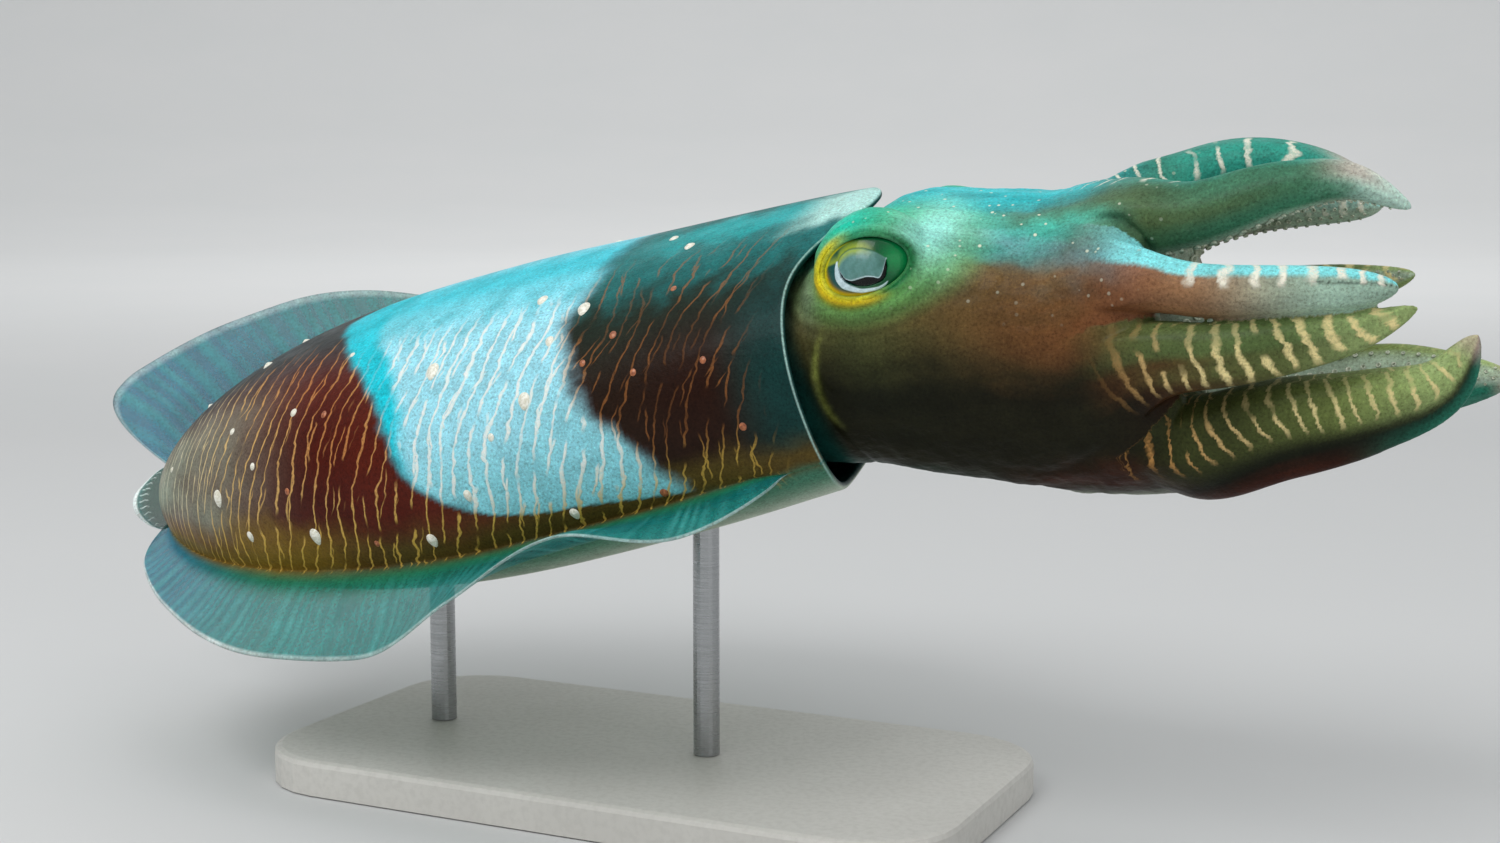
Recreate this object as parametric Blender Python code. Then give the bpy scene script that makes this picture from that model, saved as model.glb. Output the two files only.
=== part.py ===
"""A broadclub cuttlefish, life size, swimming with its arms spread, held by a display stand.

The animal is modelled in its own frame, in metres: +X towards the arm tips, +Y to its left,
+Z to its back, with the origin at the middle of the mantle's front opening. One empty then
pitches and rolls it to the swimming pose above the stand, whose base is centred on the world origin.
"""
import math

import bmesh
import bpy
import numpy as np
from mathutils import Matrix, Vector

GAP = 0.0003

# The pose of the whole animal above the stand
NECK_HEIGHT = 0.155
NECK_FORWARD = 0.077
NOSE_UP = math.radians(15.8)
RIGHT_SIDE_DOWN = math.radians(18.0)
HEAD_UNROLL = math.radians(13.0)    # the head is held a little more level than the mantle

# Mantle
MANTLE_LENGTH = 0.287
MANTLE_HALF_WIDTH = 0.071
MANTLE_TOP = 0.053
MANTLE_BOTTOM = 0.0435
MANTLE_WIDEST = 0.42          # share of the length, from the front
MANTLE_SQUARENESS = 2.25
TAIL_LIFT = 0.0085            # how far the tail's end bends up
LOBE_REACH = 0.022            # the pointed front lobe of the back
LOBE_HALF_ANGLE = math.radians(24)
BELLY_NOTCH = 0.014           # how far the front edge draws back below the funnel
BELLY_NOTCH_HALF_ANGLE = math.radians(48)
COLLAR_WALL = 0.0026
COLLAR_DEPTH = 0.014
MANTLE_SIDES = 30
MANTLE_RINGS = 18

# Head, as x, half width, top and bottom from the neck to the arm crown
CROWN_X = 0.075
HEAD_STATIONS = (
    (-COLLAR_DEPTH + GAP, 0.0480, 0.0355, -0.033),
    (0.005, 0.0495, 0.0365, -0.040),
    (0.018, 0.0495, 0.0375, -0.047),
    (0.032, 0.0490, 0.0405, -0.053),
    (0.055, 0.0475, 0.0345, -0.061),
    (CROWN_X, 0.0460, 0.0285, -0.066),
)
HEAD_SIDES = 36
HEAD_RINGS = 14
FUNNEL_GROOVE = 0.0150
FUNNEL_GROOVE_ANGLE = math.radians(22)

# Eyes
EYE_X = 0.0276
EYE_SIDE = 0.0445
EYE_HEIGHT = 0.0225
EYE_SUNK = 0.0092             # the eyeball's middle, inwards from the point above
EYE_RADIUS = 0.0175
EYE_BULGE = 0.0085
EYE_BULGE_SPREAD = 0.0165
LID_THICKNESS = 0.0013
LID_OPENING = (0.0140, 0.0094)  # half length and half height

# Fins
FIN_ANGLE = math.radians(112)  # from the back's midline, round the mantle's side
FIN_START, FIN_END = 0.045, 0.985
FIN_WIDTH = 0.036
FIN_ROOT_THICKNESS = 0.0050
FIN_EDGE_THICKNESS = 0.0009
# How wide each fin is towards its rear, as (share of the root's length, factor)
FIN_REAR = {
    -1: ((0.0, 1.0), (0.66, 1.0), (0.85, 0.66), (1.0, 0.32)),
    1: ((0.0, 1.0), (0.60, 1.1), (0.80, 1.56), (0.93, 1.60), (1.0, 1.28)),
}
FIN_END_ROUNDING = {-1: 0.07, 1: 0.05}
FIN_STRETCH = {-1: 1.0, 1: 1.30}
# How far each fin's wave lifts it, as (share of the root's length, degrees); -1 is the right side
FIN_LIFT = {
    -1: ((0.0, -11), (0.10, -3), (0.23, 22), (0.38, 3), (0.54, -23), (0.72, -15), (0.88, -9), (1.0, 2)),
    1: ((0.0, -12), (0.18, 14), (0.42, -14), (0.60, 40), (0.73, 60), (0.85, 55), (0.95, 42), (1.0, 34)),
}
FIN_SWEEP = {-1: math.radians(22), 1: math.radians(80)}   # how far the rear of each fin swings back
FIN_STATIONS = 38
FIN_STEPS = 4

# Arms
CROWN_CENTRE_Z = -0.016
MOUTH_RADIUS = 0.0140
ARM_SIDES = 12
SUCKERS_A_ROW = 9
ARM_FLARE = 0.16              # how much thicker an arm is at its root than its taper alone gives
SECTOR_HOLD = 0.25            # up to this share of its length an arm stays in its sector of the crown
KEEL_HALF_ANGLE = math.radians(19)


def smooth(t):
    """An ease from 0 to 1 for t from 0 to 1."""
    t = np.clip(t, 0.0, 1.0)
    return t * t * (3 - 2 * t)


def through(stations, x):
    """A smooth curve through rows of (x, value, ...), read at x: monotone between rows."""
    table = np.asarray(stations, float)
    xs, ys = table[:, 0], table[:, 1:]
    step = np.diff(xs)[:, None]
    slope = np.diff(ys, axis=0) / step
    product = slope[:-1] * slope[1:]
    inner = np.where(product > 0, 2 * product / (slope[:-1] + slope[1:] + 1e-12), 0)
    tangent = np.concatenate([slope[:1], inner, slope[-1:]])
    x = np.atleast_1d(np.asarray(x, float))
    k = np.clip(np.searchsorted(xs, x, side="right") - 1, 0, len(xs) - 2)
    u = ((x - xs[k]) / np.diff(xs)[k])[:, None]
    h = step[k]
    return (
        (1 + 2 * u) * (1 - u) ** 2 * ys[k]
        + u * (1 - u) ** 2 * h * tangent[k]
        + u * u * (3 - 2 * u) * ys[k + 1]
        + u * u * (u - 1) * h * tangent[k + 1]
    )


def oval(angle, half_width, top, bottom, squareness=2.0):
    """(y, z) of a squarish oval; the angle runs from the back's midline over the right side."""
    c, s = np.cos(angle), np.sin(angle)
    power = 2 / squareness
    y = -half_width * np.sign(s) * np.abs(s) ** power
    z = np.where(c > 0, top, bottom) * np.sign(c) * np.abs(c) ** power
    return y, z


def mantle_scale(t):
    """How full the mantle is at share t of its length, 1 at its widest."""
    rear = np.clip((t - MANTLE_WIDEST) / (1 - MANTLE_WIDEST), 0, 1)
    front = np.clip((MANTLE_WIDEST - t) / MANTLE_WIDEST, 0, 1)
    return (1 - rear**2.3) ** 0.58 * (1 - 0.14 * front**2)


def mantle_point(t, angle, inset=0.0):
    """A point of the mantle's skin, moved inwards by inset; t is 0 at the front edge, 1 at the tail."""
    t, angle = np.broadcast_arrays(np.asarray(t, float), np.asarray(angle, float))
    scale = mantle_scale(t)
    front = np.clip(1 - t / MANTLE_WIDEST, 0, 1)
    y, z = oval(
        angle,
        np.maximum(MANTLE_HALF_WIDTH * scale - inset, 0),
        np.maximum(MANTLE_TOP * scale * (1 - 0.035 * smooth(2 * front)) - inset, 0),
        np.maximum(MANTLE_BOTTOM * (scale + 0.08 * front**2) - inset, 0),
        MANTLE_SQUARENESS,
    )
    turn = np.abs((angle + math.pi) % (2 * math.pi) - math.pi)
    lobe = LOBE_REACH * np.exp(-((turn / LOBE_HALF_ANGLE) ** 2))
    notch = BELLY_NOTCH * np.exp(-(((math.pi - turn) / BELLY_NOTCH_HALF_ANGLE) ** 2))
    x = -MANTLE_LENGTH * t + (lobe - notch) * (1 - smooth(t / 0.2))
    return np.stack([x, y, z + TAIL_LIFT * smooth((t - 0.35) / 0.65)], -1)


def mantle_normal(t, angle):
    """The outward normal there, by small differences."""
    small = 1e-4
    along = mantle_point(t + small, angle) - mantle_point(t - small, angle)
    round_it = mantle_point(t, angle + small) - mantle_point(t, angle - small)
    normal = np.cross(along, round_it)
    return normal / np.linalg.norm(normal, axis=-1, keepdims=True)


def neck_twist(point):
    """Turns the neck back into line with the mantle's roll; ahead of it the head is level."""
    turn = HEAD_UNROLL * (1 - smooth((point[..., 0] + COLLAR_DEPTH) / 0.034))
    c, s = np.cos(turn), np.sin(turn)
    y, z = point[..., 1], point[..., 2]
    return np.stack([point[..., 0], c * y - s * z, s * y + c * z], -1)


def head_point(x, angle):
    """A point of the head's skin without its lids, with the bulge over each eye."""
    x, angle = np.broadcast_arrays(np.asarray(x, float), np.asarray(angle, float))
    sizes = through(HEAD_STATIONS, x.ravel()).reshape(x.shape + (3,))
    middle = (sizes[..., 1] + sizes[..., 2]) / 2
    half = (sizes[..., 1] - sizes[..., 2]) / 2
    y, z = oval(angle, sizes[..., 0], half, half, 2.15)
    from_belly = np.abs(np.abs((angle + math.pi) % (2 * math.pi) - math.pi) - math.pi)
    groove = FUNNEL_GROOVE * np.exp(-((from_belly / FUNNEL_GROOVE_ANGLE) ** 4))
    z = z + groove * (1 - smooth((x - 0.038) / 0.025))
    point = np.stack([x, y, z + middle], -1)
    for side in (-1, 1):
        eye = np.array([EYE_X, side * EYE_SIDE, EYE_HEIGHT])
        away = np.linalg.norm(point - eye, axis=-1)
        amount = EYE_BULGE * np.exp(-0.5 * (away / EYE_BULGE_SPREAD) ** 2)
        point = point + amount[..., None] * eye_direction(side)
    return neck_twist(point)


def eye_direction(side):
    """The way an eye looks: outwards, a little up and forwards."""
    way = np.array([0.10, side * 1.0, 0.22])
    return way / np.linalg.norm(way)


def eye_centre(side):
    """The middle of an eyeball, sunk in the head below its bulge."""
    return np.array([EYE_X, side * EYE_SIDE, EYE_HEIGHT]) - EYE_SUNK * eye_direction(side)


def crown_radius(angle):
    """How far the arm crown's outline is from its centre, in the crown's plane."""
    half_width, top, bottom = HEAD_STATIONS[-1][1:]
    fine = np.linspace(0, 2 * math.pi, 721)
    middle, half = (top + bottom) / 2, (top - bottom) / 2
    y, z = oval(fine, half_width, half, half, 2.15)
    z = z + middle - CROWN_CENTRE_Z
    turn = np.unwrap(np.arctan2(-y, z))
    return np.interp(np.asarray(angle) % (2 * math.pi), turn, np.hypot(y, z))


class Arm:
    """One arm: its sector of the crown, its line, and its section along that line."""

    def __init__(
        self, name, side, sector, line, half_width, outer, inner, keel, keel_turn, taper, blunt, twist=0.0
    ):
        self.name, self.side = name, side
        self.low, self.high = (math.radians(a) for a in sector)
        self.half_width, self.outer, self.inner = half_width, outer, inner
        self.keel, self.taper, self.blunt, self.twist = keel, taper, blunt, math.radians(twist)
        self.keel_turn = math.radians(keel_turn if side < 0 else 180 - keel_turn)
        mid = (self.low + self.high) / 2
        self.out = np.array([0.0, side * math.sin(mid), math.cos(mid)])
        reach = float(crown_radius(mid))
        root = 0.5 * (MOUTH_RADIUS + reach)
        self.root = np.array([
            CROWN_X + GAP, side * root * math.sin(mid), CROWN_CENTRE_Z + root * math.cos(mid)
        ])
        ahead = self.root + np.array([0.010, 0.0, 0.0])
        points = np.array([self.root, ahead] + [(x, side * y, z) for x, y, z in line])
        chord = np.concatenate([[0], np.cumsum(np.linalg.norm(np.diff(points, axis=0), axis=1))])
        self.length = float(chord[-1])
        self.table = np.column_stack([chord / chord[-1], points])

    def line(self, s):
        """The arm's middle line, straight out of the crown at first."""
        return catmull(self.table, np.atleast_1d(np.asarray(s, float)))

    def frame(self, s):
        """(middle, along, side, out) at share s of the length."""
        s = np.atleast_1d(np.asarray(s, float))
        small = 2e-3
        middle = self.line(s)
        along = self.line(np.minimum(s + small, 1)) - self.line(np.maximum(s - small, 0))
        along[s <= 1e-9] = (1.0, 0.0, 0.0)
        along /= np.linalg.norm(along, axis=1, keepdims=True)
        out = self.out - along * (along @ self.out)[:, None]
        out /= np.linalg.norm(out, axis=1, keepdims=True)
        return middle, along, np.cross(along, out), out

    def root_radius(self, turn):
        """How far the root's sector of the crown reaches from the root's middle."""
        _, _, side, out = (v[0] for v in self.frame(0.0))
        reach = np.linspace(0.0, 0.06, 601)
        found = np.zeros(len(turn))
        for k, u in enumerate(turn):
            way = math.cos(u) * side + math.sin(u) * out
            p = self.root + reach[:, None] * way
            y, z = p[:, 1] * self.side, p[:, 2] - CROWN_CENTRE_Z
            radius, angle = np.hypot(y, z), np.arctan2(y, z)
            angle = np.where(angle < -1e-3 - math.pi / 2, angle + 2 * math.pi, angle)
            inside = (
                (radius > MOUTH_RADIUS)
                & (radius < crown_radius(angle))
                & (radius * np.sin(angle - self.low) > 0.7 * GAP)
                & (radius * np.sin(self.high - angle) > 0.7 * GAP)
            )
            found[k] = reach[np.argmin(inside)] if not inside.all() else reach[-1]
        return found

    def roll(self, s):
        """How far the section has rolled about the arm at share s."""
        return -self.side * self.twist * smooth(s / 0.35)

    def free_radius(self, s, turn):
        """The section past the crown: a broad oval, flatter on the sucker side, with any keel."""
        s, turn = np.broadcast_arrays(s, turn)
        turn = turn - self.roll(s)
        end = (1 - np.clip(s, 0, 1) ** self.blunt) ** 0.6
        slim = (1 - self.taper * s) * end * (1 + ARM_FLARE * (1 - smooth(s / 0.5)))
        width = np.maximum(self.half_width * slim, 1e-6)
        height = np.maximum(np.where(np.sin(turn) > 0, self.outer, self.inner) * slim, 1e-6)
        power = 2.3
        across = np.abs(np.cos(turn) / width) ** power
        through_it = np.abs(np.sin(turn) / height) ** power
        away = (turn - self.keel_turn + math.pi) % (2 * math.pi) - math.pi
        swell = smooth((s - 0.12) / 0.45) * (1 - s**3) ** 0.8
        radius = (across + through_it) ** (-1 / power)
        return radius + self.keel * swell * np.exp(-((away / KEEL_HALF_ANGLE) ** 2))

    def surface(self, s, turn):
        """Points of the arm's skin: rows along the arm, columns round it from its left-hand side."""
        s, turn = np.atleast_1d(s), np.atleast_1d(turn)
        middle, _, side, out = self.frame(s)
        share = smooth((s - 0.02) / 0.40)[:, None]
        free = self.free_radius(s[:, None], turn[None, :])
        radius = (1 - share) * self.root_radius(turn)[None, :] + share * free
        way = np.cos(turn)[None, :, None] * side[:, None, :] + np.sin(turn)[None, :, None] * out[:, None, :]
        points = middle[:, None, :] + radius[..., None] * way
        room = (0.05 * smooth((s - SECTOR_HOLD) / 0.35) - 0.6 * GAP)[:, None]
        for edge, inwards in ((self.low, 1), (self.high, -1)):
            normal = inwards * np.array([0.0, self.side * math.cos(edge), -math.sin(edge)])
            inside = (points - np.array([0.0, 0.0, CROWN_CENTRE_Z])) @ normal
            points = points + np.maximum(-room - inside, 0)[..., None] * normal
        points[..., 1] = self.side * np.maximum(self.side * points[..., 1], 0.6 * GAP)
        return points


def catmull(table, s):
    """A smooth curve through rows of (share, x, y, z), read at shares s."""
    knots, points = table[:, 0], table[:, 1:]
    tangent = np.gradient(points, knots, axis=0)
    k = np.clip(np.searchsorted(knots, s, side="right") - 1, 0, len(knots) - 2)
    h = (knots[k + 1] - knots[k])[:, None]
    u = (s[:, None] - knots[k][:, None]) / h
    return (
        (1 + 2 * u) * (1 - u) ** 2 * points[k]
        + u * (1 - u) ** 2 * h * tangent[k]
        + u * u * (3 - 2 * u) * points[k + 1]
        + u * u * (u - 1) * h * tangent[k + 1]
    )


def all_arms():
    """The eight arms, as the pairs I to IV from the back to the belly."""
    sectors = ((0, 40), (40, 84), (84, 128), (128, 180))
    pair_1 = dict(
        half_width=0.0115, outer=0.0100, inner=0.0105, keel=0.0015, keel_turn=90, taper=0.26, blunt=3.0
    )
    pair_2 = dict(
        half_width=0.0080, outer=0.0082, inner=0.0070, keel=0.0, keel_turn=90, taper=0.16, blunt=9.0
    )
    pair_3 = dict(
        half_width=0.0112, outer=0.0088, inner=0.0065, keel=0.0025, keel_turn=55, taper=0.28, blunt=3.4
    )
    pair_4 = dict(
        half_width=0.0170, outer=0.0125, inner=0.0105, keel=0.005, keel_turn=40, taper=0.30, blunt=3.6,
        twist=32,
    )
    right_1 = (
        (0.102, 0.0170, 0.0135),
        (0.122, 0.0215, 0.0115),
        (0.146, 0.0220, 0.0120),
        (0.162, 0.0200, 0.0090),
        (0.176, 0.0170, -0.0030),
    )
    left_1 = (
        (0.102, 0.0170, 0.0180),
        (0.122, 0.0220, 0.0200),
        (0.140, 0.0220, 0.0160),
        (0.155, 0.0210, 0.0080),
        (0.166, 0.0190, -0.0030),
    )
    right_2 = (
        (0.102, 0.0360, -0.0025),
        (0.121, 0.0410, -0.0090),
        (0.148, 0.0400, -0.0160),
        (0.170, 0.0360, -0.0215),
    )
    left_2 = (
        (0.102, 0.0370, 0.0050),
        (0.120, 0.0460, 0.0050),
        (0.143, 0.0460, 0.0010),
        (0.160, 0.0420, -0.0040),
    )
    right_3 = (
        (0.102, 0.038, -0.0240),
        (0.118, 0.042, -0.0265),
        (0.141, 0.041, -0.0290),
        (0.158, 0.038, -0.0298),
        (0.173, 0.034, -0.0280),
    )
    left_3 = (
        (0.102, 0.039, -0.0220),
        (0.118, 0.045, -0.0225),
        (0.138, 0.045, -0.0245),
        (0.155, 0.041, -0.0260),
        (0.165, 0.036, -0.0260),
    )
    right_4 = (
        (0.104, 0.0240, -0.0525),
        (0.128, 0.0290, -0.0508),
        (0.152, 0.0280, -0.0518),
        (0.173, 0.0260, -0.0500),
        (0.185, 0.0250, -0.0400),
    )
    left_4 = (
        (0.104, 0.0235, -0.0500),
        (0.128, 0.0290, -0.0540),
        (0.152, 0.0275, -0.0545),
        (0.172, 0.0225, -0.0580),
        (0.187, 0.0190, -0.0610),
    )
    shapes = (
        (pair_1, right_1, left_1),
        (pair_2, right_2, left_2),
        (pair_3, right_3, left_3),
        (pair_4, right_4, left_4),
    )
    arms = []
    for number, (sector, (shape, right, left)) in enumerate(zip(sectors, shapes), 1):
        arms.append(Arm(f"arm_{number}_right", -1, sector, right, **shape))
        arms.append(Arm(f"arm_{number}_left", 1, sector, left, **shape))
    return arms


def fin_point(side, t, v):
    """(middle, upward) of a fin: t along its root as a share of the mantle, v from 0 at the root to 1."""
    root_angle = -side * FIN_ANGLE
    small = 1e-3
    root = mantle_point(t, root_angle)
    ahead = mantle_point(np.clip(t + small, 0, 0.9999), root_angle) - mantle_point(t - small, root_angle)
    ahead = ahead / np.linalg.norm(ahead, axis=-1, keepdims=True)
    out = np.stack([ahead[..., 1] * side, -ahead[..., 0] * side, np.zeros_like(t)], -1)
    out = out / np.linalg.norm(out, axis=-1, keepdims=True)
    share = (t - FIN_START) / (FIN_END - FIN_START)
    sweep = (FIN_SWEEP[side] * smooth((share - 0.6) / 0.4))[..., None]
    out = out * np.cos(sweep) + np.array([-1.0, 0.0, 0.0]) * np.sin(sweep)
    out = out / np.linalg.norm(out, axis=-1, keepdims=True)
    lift = np.radians(through(FIN_LIFT[side], share)[:, 0]) * smooth(0.15 + v * 1.1)
    reach = (fin_width(side, share) * v)[..., None]
    up = np.array([0.0, 0.0, 1.0])
    middle = root + reach * (out * np.cos(lift)[..., None] + up * np.sin(lift)[..., None])
    above = up * np.cos(lift)[..., None] - out * np.sin(lift)[..., None]
    return middle, above


def fin_width(side, share):
    """The fin's width along its root, narrow at both ends."""
    front = 1 - (1 - np.clip(share / 0.30, 0, 1)) ** 2.4
    rear = through(FIN_REAR[side], share)[:, 0].reshape(np.shape(share))
    rounding = FIN_END_ROUNDING[side]
    rear = rear * (1 - 0.9 * np.clip((share - 1 + rounding) / rounding, 0, 1) ** 3)
    return FIN_WIDTH * FIN_STRETCH[side] * (0.04 + 0.96 * front) * rear


def material(name, colour, roughness, metallic=0.0):
    """A plain finish with the part's own colour."""
    made = bpy.data.materials.new(name)
    made.use_nodes = True
    shader = made.node_tree.nodes["Principled BSDF"]
    shader.inputs["Base Color"].default_value = (*colour, 1.0)
    shader.inputs["Roughness"].default_value = roughness
    shader.inputs["Metallic"].default_value = metallic
    return made


def add_object(name, mesh, finish=None, parent=None):
    """An object for a mesh, in the scene, under its parent."""
    thing = bpy.data.objects.new(name, mesh)
    bpy.context.scene.collection.objects.link(thing)
    thing.parent = parent
    if finish:
        mesh.materials.append(finish)
    return thing


def mesh_from(name, points, faces):
    """A smooth-shaded triangle mesh with its faces pointing out."""
    mesh = bpy.data.meshes.new(name)
    mesh.from_pydata([tuple(map(float, p)) for p in points], [], faces)
    sketch = bmesh.new()
    sketch.from_mesh(mesh)
    bmesh.ops.triangulate(sketch, faces=sketch.faces)
    bmesh.ops.recalc_face_normals(sketch, faces=sketch.faces)
    sketch.to_mesh(mesh)
    sketch.free()
    mesh.shade_smooth()
    return mesh


def loft(name, rings, first=None, last=None):
    """A closed body through rings of points, each end closed on a point (its ring's mean by default)."""
    rings = np.asarray(rings)
    count, sides = rings.shape[:2]
    first = rings[0].mean(0) if first is None else first
    last = rings[-1].mean(0) if last is None else last
    points = np.concatenate([rings.reshape(-1, 3), [first, last]])
    faces = []
    for i in range(count - 1):
        for j in range(sides):
            k = (j + 1) % sides
            a, b, c, d = i * sides + j, i * sides + k, (i + 1) * sides + k, (i + 1) * sides + j
            faces += [(a, b, c), (a, c, d)]
    for j in range(sides):
        k = (j + 1) % sides
        faces.append((count * sides, k, j))
        faces.append((count * sides + 1, (count - 1) * sides + j, (count - 1) * sides + k))
    return mesh_from(name, points, faces)


def turns(sides):
    """Angles round a section."""
    return np.arange(sides) * 2 * math.pi / sides


def build_mantle(finish, parent):
    """The mantle: outer skin, rolled front edge, and the recess that the neck sits in."""
    angle = turns(MANTLE_SIDES)
    floor = mantle_point(0.0, angle, COLLAR_WALL + 0.0004)
    floor[:, 0] = np.minimum(floor[:, 0], 0) - COLLAR_DEPTH
    lip = mantle_point(0.0, angle, COLLAR_WALL)
    edge = mantle_point(0.0, angle, 0.35 * COLLAR_WALL)
    edge[:, 0] += 0.0008
    shares = np.concatenate([[0.0, 0.035], np.sin(0.5 * math.pi * np.arange(1, MANTLE_RINGS) / MANTLE_RINGS)])
    skin = [mantle_point(t, angle) for t in shares]
    return add_object(
        "mantle",
        loft(
            "mantle",
            [floor, lip, edge, *skin],
            first=np.array([-COLLAR_DEPTH, 0, 0]),
            last=mantle_point(1.0, 0.0),
        ),
        finish,
        parent,
    )


def uv_ball(name, centre, radius, way, around, along):
    """A ball with its poles on the given axis."""
    sketch = bmesh.new()
    bmesh.ops.create_uvsphere(sketch, u_segments=around, v_segments=along, radius=radius)
    turn = Vector((0, 0, 1)).rotation_difference(Vector(way)).to_matrix().to_4x4()
    bmesh.ops.transform(sketch, matrix=Matrix.Translation(Vector(centre)) @ turn, verts=sketch.verts)
    bmesh.ops.triangulate(sketch, faces=sketch.faces)
    mesh = bpy.data.meshes.new(name)
    sketch.to_mesh(mesh)
    sketch.free()
    mesh.shade_smooth()
    return mesh


def lid_opening(side):
    """The space between the lids: an oval tube from inside the eyeball outwards."""
    way = eye_direction(side)
    forward = np.cross(np.cross(way, (1.0, 0, 0)), way)
    forward = forward / np.linalg.norm(forward)
    up = np.cross(way, forward)
    half_length, half_height = LID_OPENING
    outline = [half_length * math.cos(a) * forward + half_height * math.sin(a) * up for a in turns(16)]
    rings = [
        [eye_centre(side) + depth * way + place for place in outline]
        for depth in (0.35 * EYE_RADIUS, 1.6 * EYE_RADIUS)
    ]
    return loft("opening", rings)


def join_and_cut(body, added, removed, solver="EXACT"):
    """Adds closed meshes to a body and takes others away, each set by one Boolean that is then applied."""
    for operation, meshes in (("UNION", added), ("DIFFERENCE", removed)):
        if not meshes:
            continue
        pieces = bpy.data.collections.new(f"{body.name}_{operation.lower()}")
        bpy.context.scene.collection.children.link(pieces)
        for number, mesh in enumerate(meshes):
            piece = bpy.data.objects.new(f"{body.name}_piece_{number}", mesh)
            piece.parent = body
            pieces.objects.link(piece)
        boolean = body.modifiers.new(operation, "BOOLEAN")
        boolean.operation = operation
        boolean.operand_type = "COLLECTION"
        boolean.collection = pieces
        boolean.solver = solver
        bpy.context.view_layer.update()
        evaluated = body.evaluated_get(bpy.context.evaluated_depsgraph_get())
        joined = bpy.data.meshes.new_from_object(evaluated)
        body.modifiers.clear()
        body.data = joined
        for piece in list(pieces.objects):
            bpy.data.objects.remove(piece)
        bpy.data.collections.remove(pieces)
    keep_largest(body.data)


def keep_largest(mesh):
    """Leaves only the mesh's largest closed surface, as triangles."""
    sketch = bmesh.new()
    sketch.from_mesh(mesh)
    bmesh.ops.triangulate(sketch, faces=sketch.faces)
    bmesh.ops.remove_doubles(sketch, verts=sketch.verts, dist=1e-6)
    unseen, groups = set(sketch.verts), []
    while unseen:
        front = [unseen.pop()]
        group = set(front)
        while front:
            vertex = front.pop()
            for edge in vertex.link_edges:
                other = edge.other_vert(vertex)
                if other in unseen:
                    unseen.discard(other)
                    group.add(other)
                    front.append(other)
        groups.append(group)
    largest = max(groups, key=len)
    bmesh.ops.delete(sketch, geom=[v for v in sketch.verts if v not in largest], context="VERTS")
    sketch.to_mesh(mesh)
    sketch.free()
    mesh.shade_smooth()


def build_head(finish, parent):
    """The head from the neck to the arm crown, with lids and sockets for the eyes."""
    angle = turns(HEAD_SIDES)
    stations = np.linspace(HEAD_STATIONS[0][0], CROWN_X, HEAD_RINGS)
    head = add_object("head", loft("head", [head_point(x, angle) for x in stations]), finish, parent)
    lids, sockets = [], []
    for side in (-1, 1):
        centre, way = eye_centre(side), eye_direction(side)
        lids.append(uv_ball("lid", centre, EYE_RADIUS + GAP + LID_THICKNESS, way, 16, 10))
        sockets.append(uv_ball("socket", centre, EYE_RADIUS + GAP, way, 16, 10))
        sockets.append(lid_opening(side))
    join_and_cut(head, lids, sockets)
    return head


def build_eyes(finish, parent):
    """Both eyeballs, each in its socket."""
    for side, word in ((-1, "right"), (1, "left")):
        mesh = uv_ball(f"eye_{word}", eye_centre(side), EYE_RADIUS, eye_direction(side), 16, 10)
        add_object(f"eye_{word}", mesh, finish, parent)


def build_fin(side, word, finish, parent):
    """One fin as a thin waved blade, its root face lying along the mantle's side."""
    share = np.linspace(0, 1, FIN_STATIONS)
    t = FIN_START + (FIN_END - FIN_START) * np.sin(0.5 * math.pi * share) ** 0.92
    across = np.linspace(0, 1, FIN_STEPS + 1)
    upper, lower = [], []
    for v in across:
        middle, above = fin_point(side, t, np.full_like(t, v))
        width = fin_width(side, (t - FIN_START) / (FIN_END - FIN_START))
        root_half = 0.5 * np.minimum(FIN_ROOT_THICKNESS, 0.0012 + 0.4 * width)
        half = root_half + (0.5 * FIN_EDGE_THICKNESS - root_half) * (1 - (1 - v) ** 1.6)
        if v == 0:
            spread = root_half / np.maximum(np.linalg.norm(middle[:, 1:], axis=1), 0.006)
            for sheet, way in ((upper, -1), (lower, 1)):
                at = -side * (FIN_ANGLE + way * spread)
                sheet.append(mantle_point(t, at) + GAP * mantle_normal(t, at))
            continue
        middle = middle + GAP * mantle_normal(t, -side * FIN_ANGLE)
        upper.append(middle + half[:, None] * above)
        lower.append(middle - half[:, None] * above)
    loops = np.array(upper + lower[::-1]).transpose(1, 0, 2)
    return add_object(f"fin_{word}", loft(f"fin_{word}", loops), finish, parent)


def sucker(base, up, along, radius):
    """A small cup: a stalk that widens to a rim round a dished face."""
    across = np.cross(up, along)
    circle = [math.cos(a) * along + math.sin(a) * across for a in turns(5)]
    rings = []
    for reach, height in ((0.66, -0.8), (1.0, 0.8)):
        rings.append([base + radius * (reach * way + height * up) for way in circle])
    return loft("sucker", rings, last=base + 0.45 * radius * up)


def arm_suckers(arm, start, end):
    """Two staggered rows of suckers on the sucker side, shrinking to the tip."""
    found = []
    for row in (-1, 1):
        for k in range(SUCKERS_A_ROW):
            s = 0.26 + 0.70 * (k + (0.4 if row > 0 else 0.0)) / SUCKERS_A_ROW
            if not start + 0.02 < s < end - 0.01:
                continue
            middle, along, side, out = (v[0] for v in arm.frame(s))
            inwards = -math.pi / 2 + arm.roll(s)
            place = arm.surface(np.array([s]), np.array([inwards + row * 0.62]))[0, 0]
            radius = 0.0024 * (1 - 0.62 * s)
            up = place - middle
            up = 0.55 * up / np.linalg.norm(up) + 0.45 * (math.cos(inwards) * side + math.sin(inwards) * out)
            up /= np.linalg.norm(up)
            found.append(sucker(place, up, along, radius))
    return found


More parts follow.
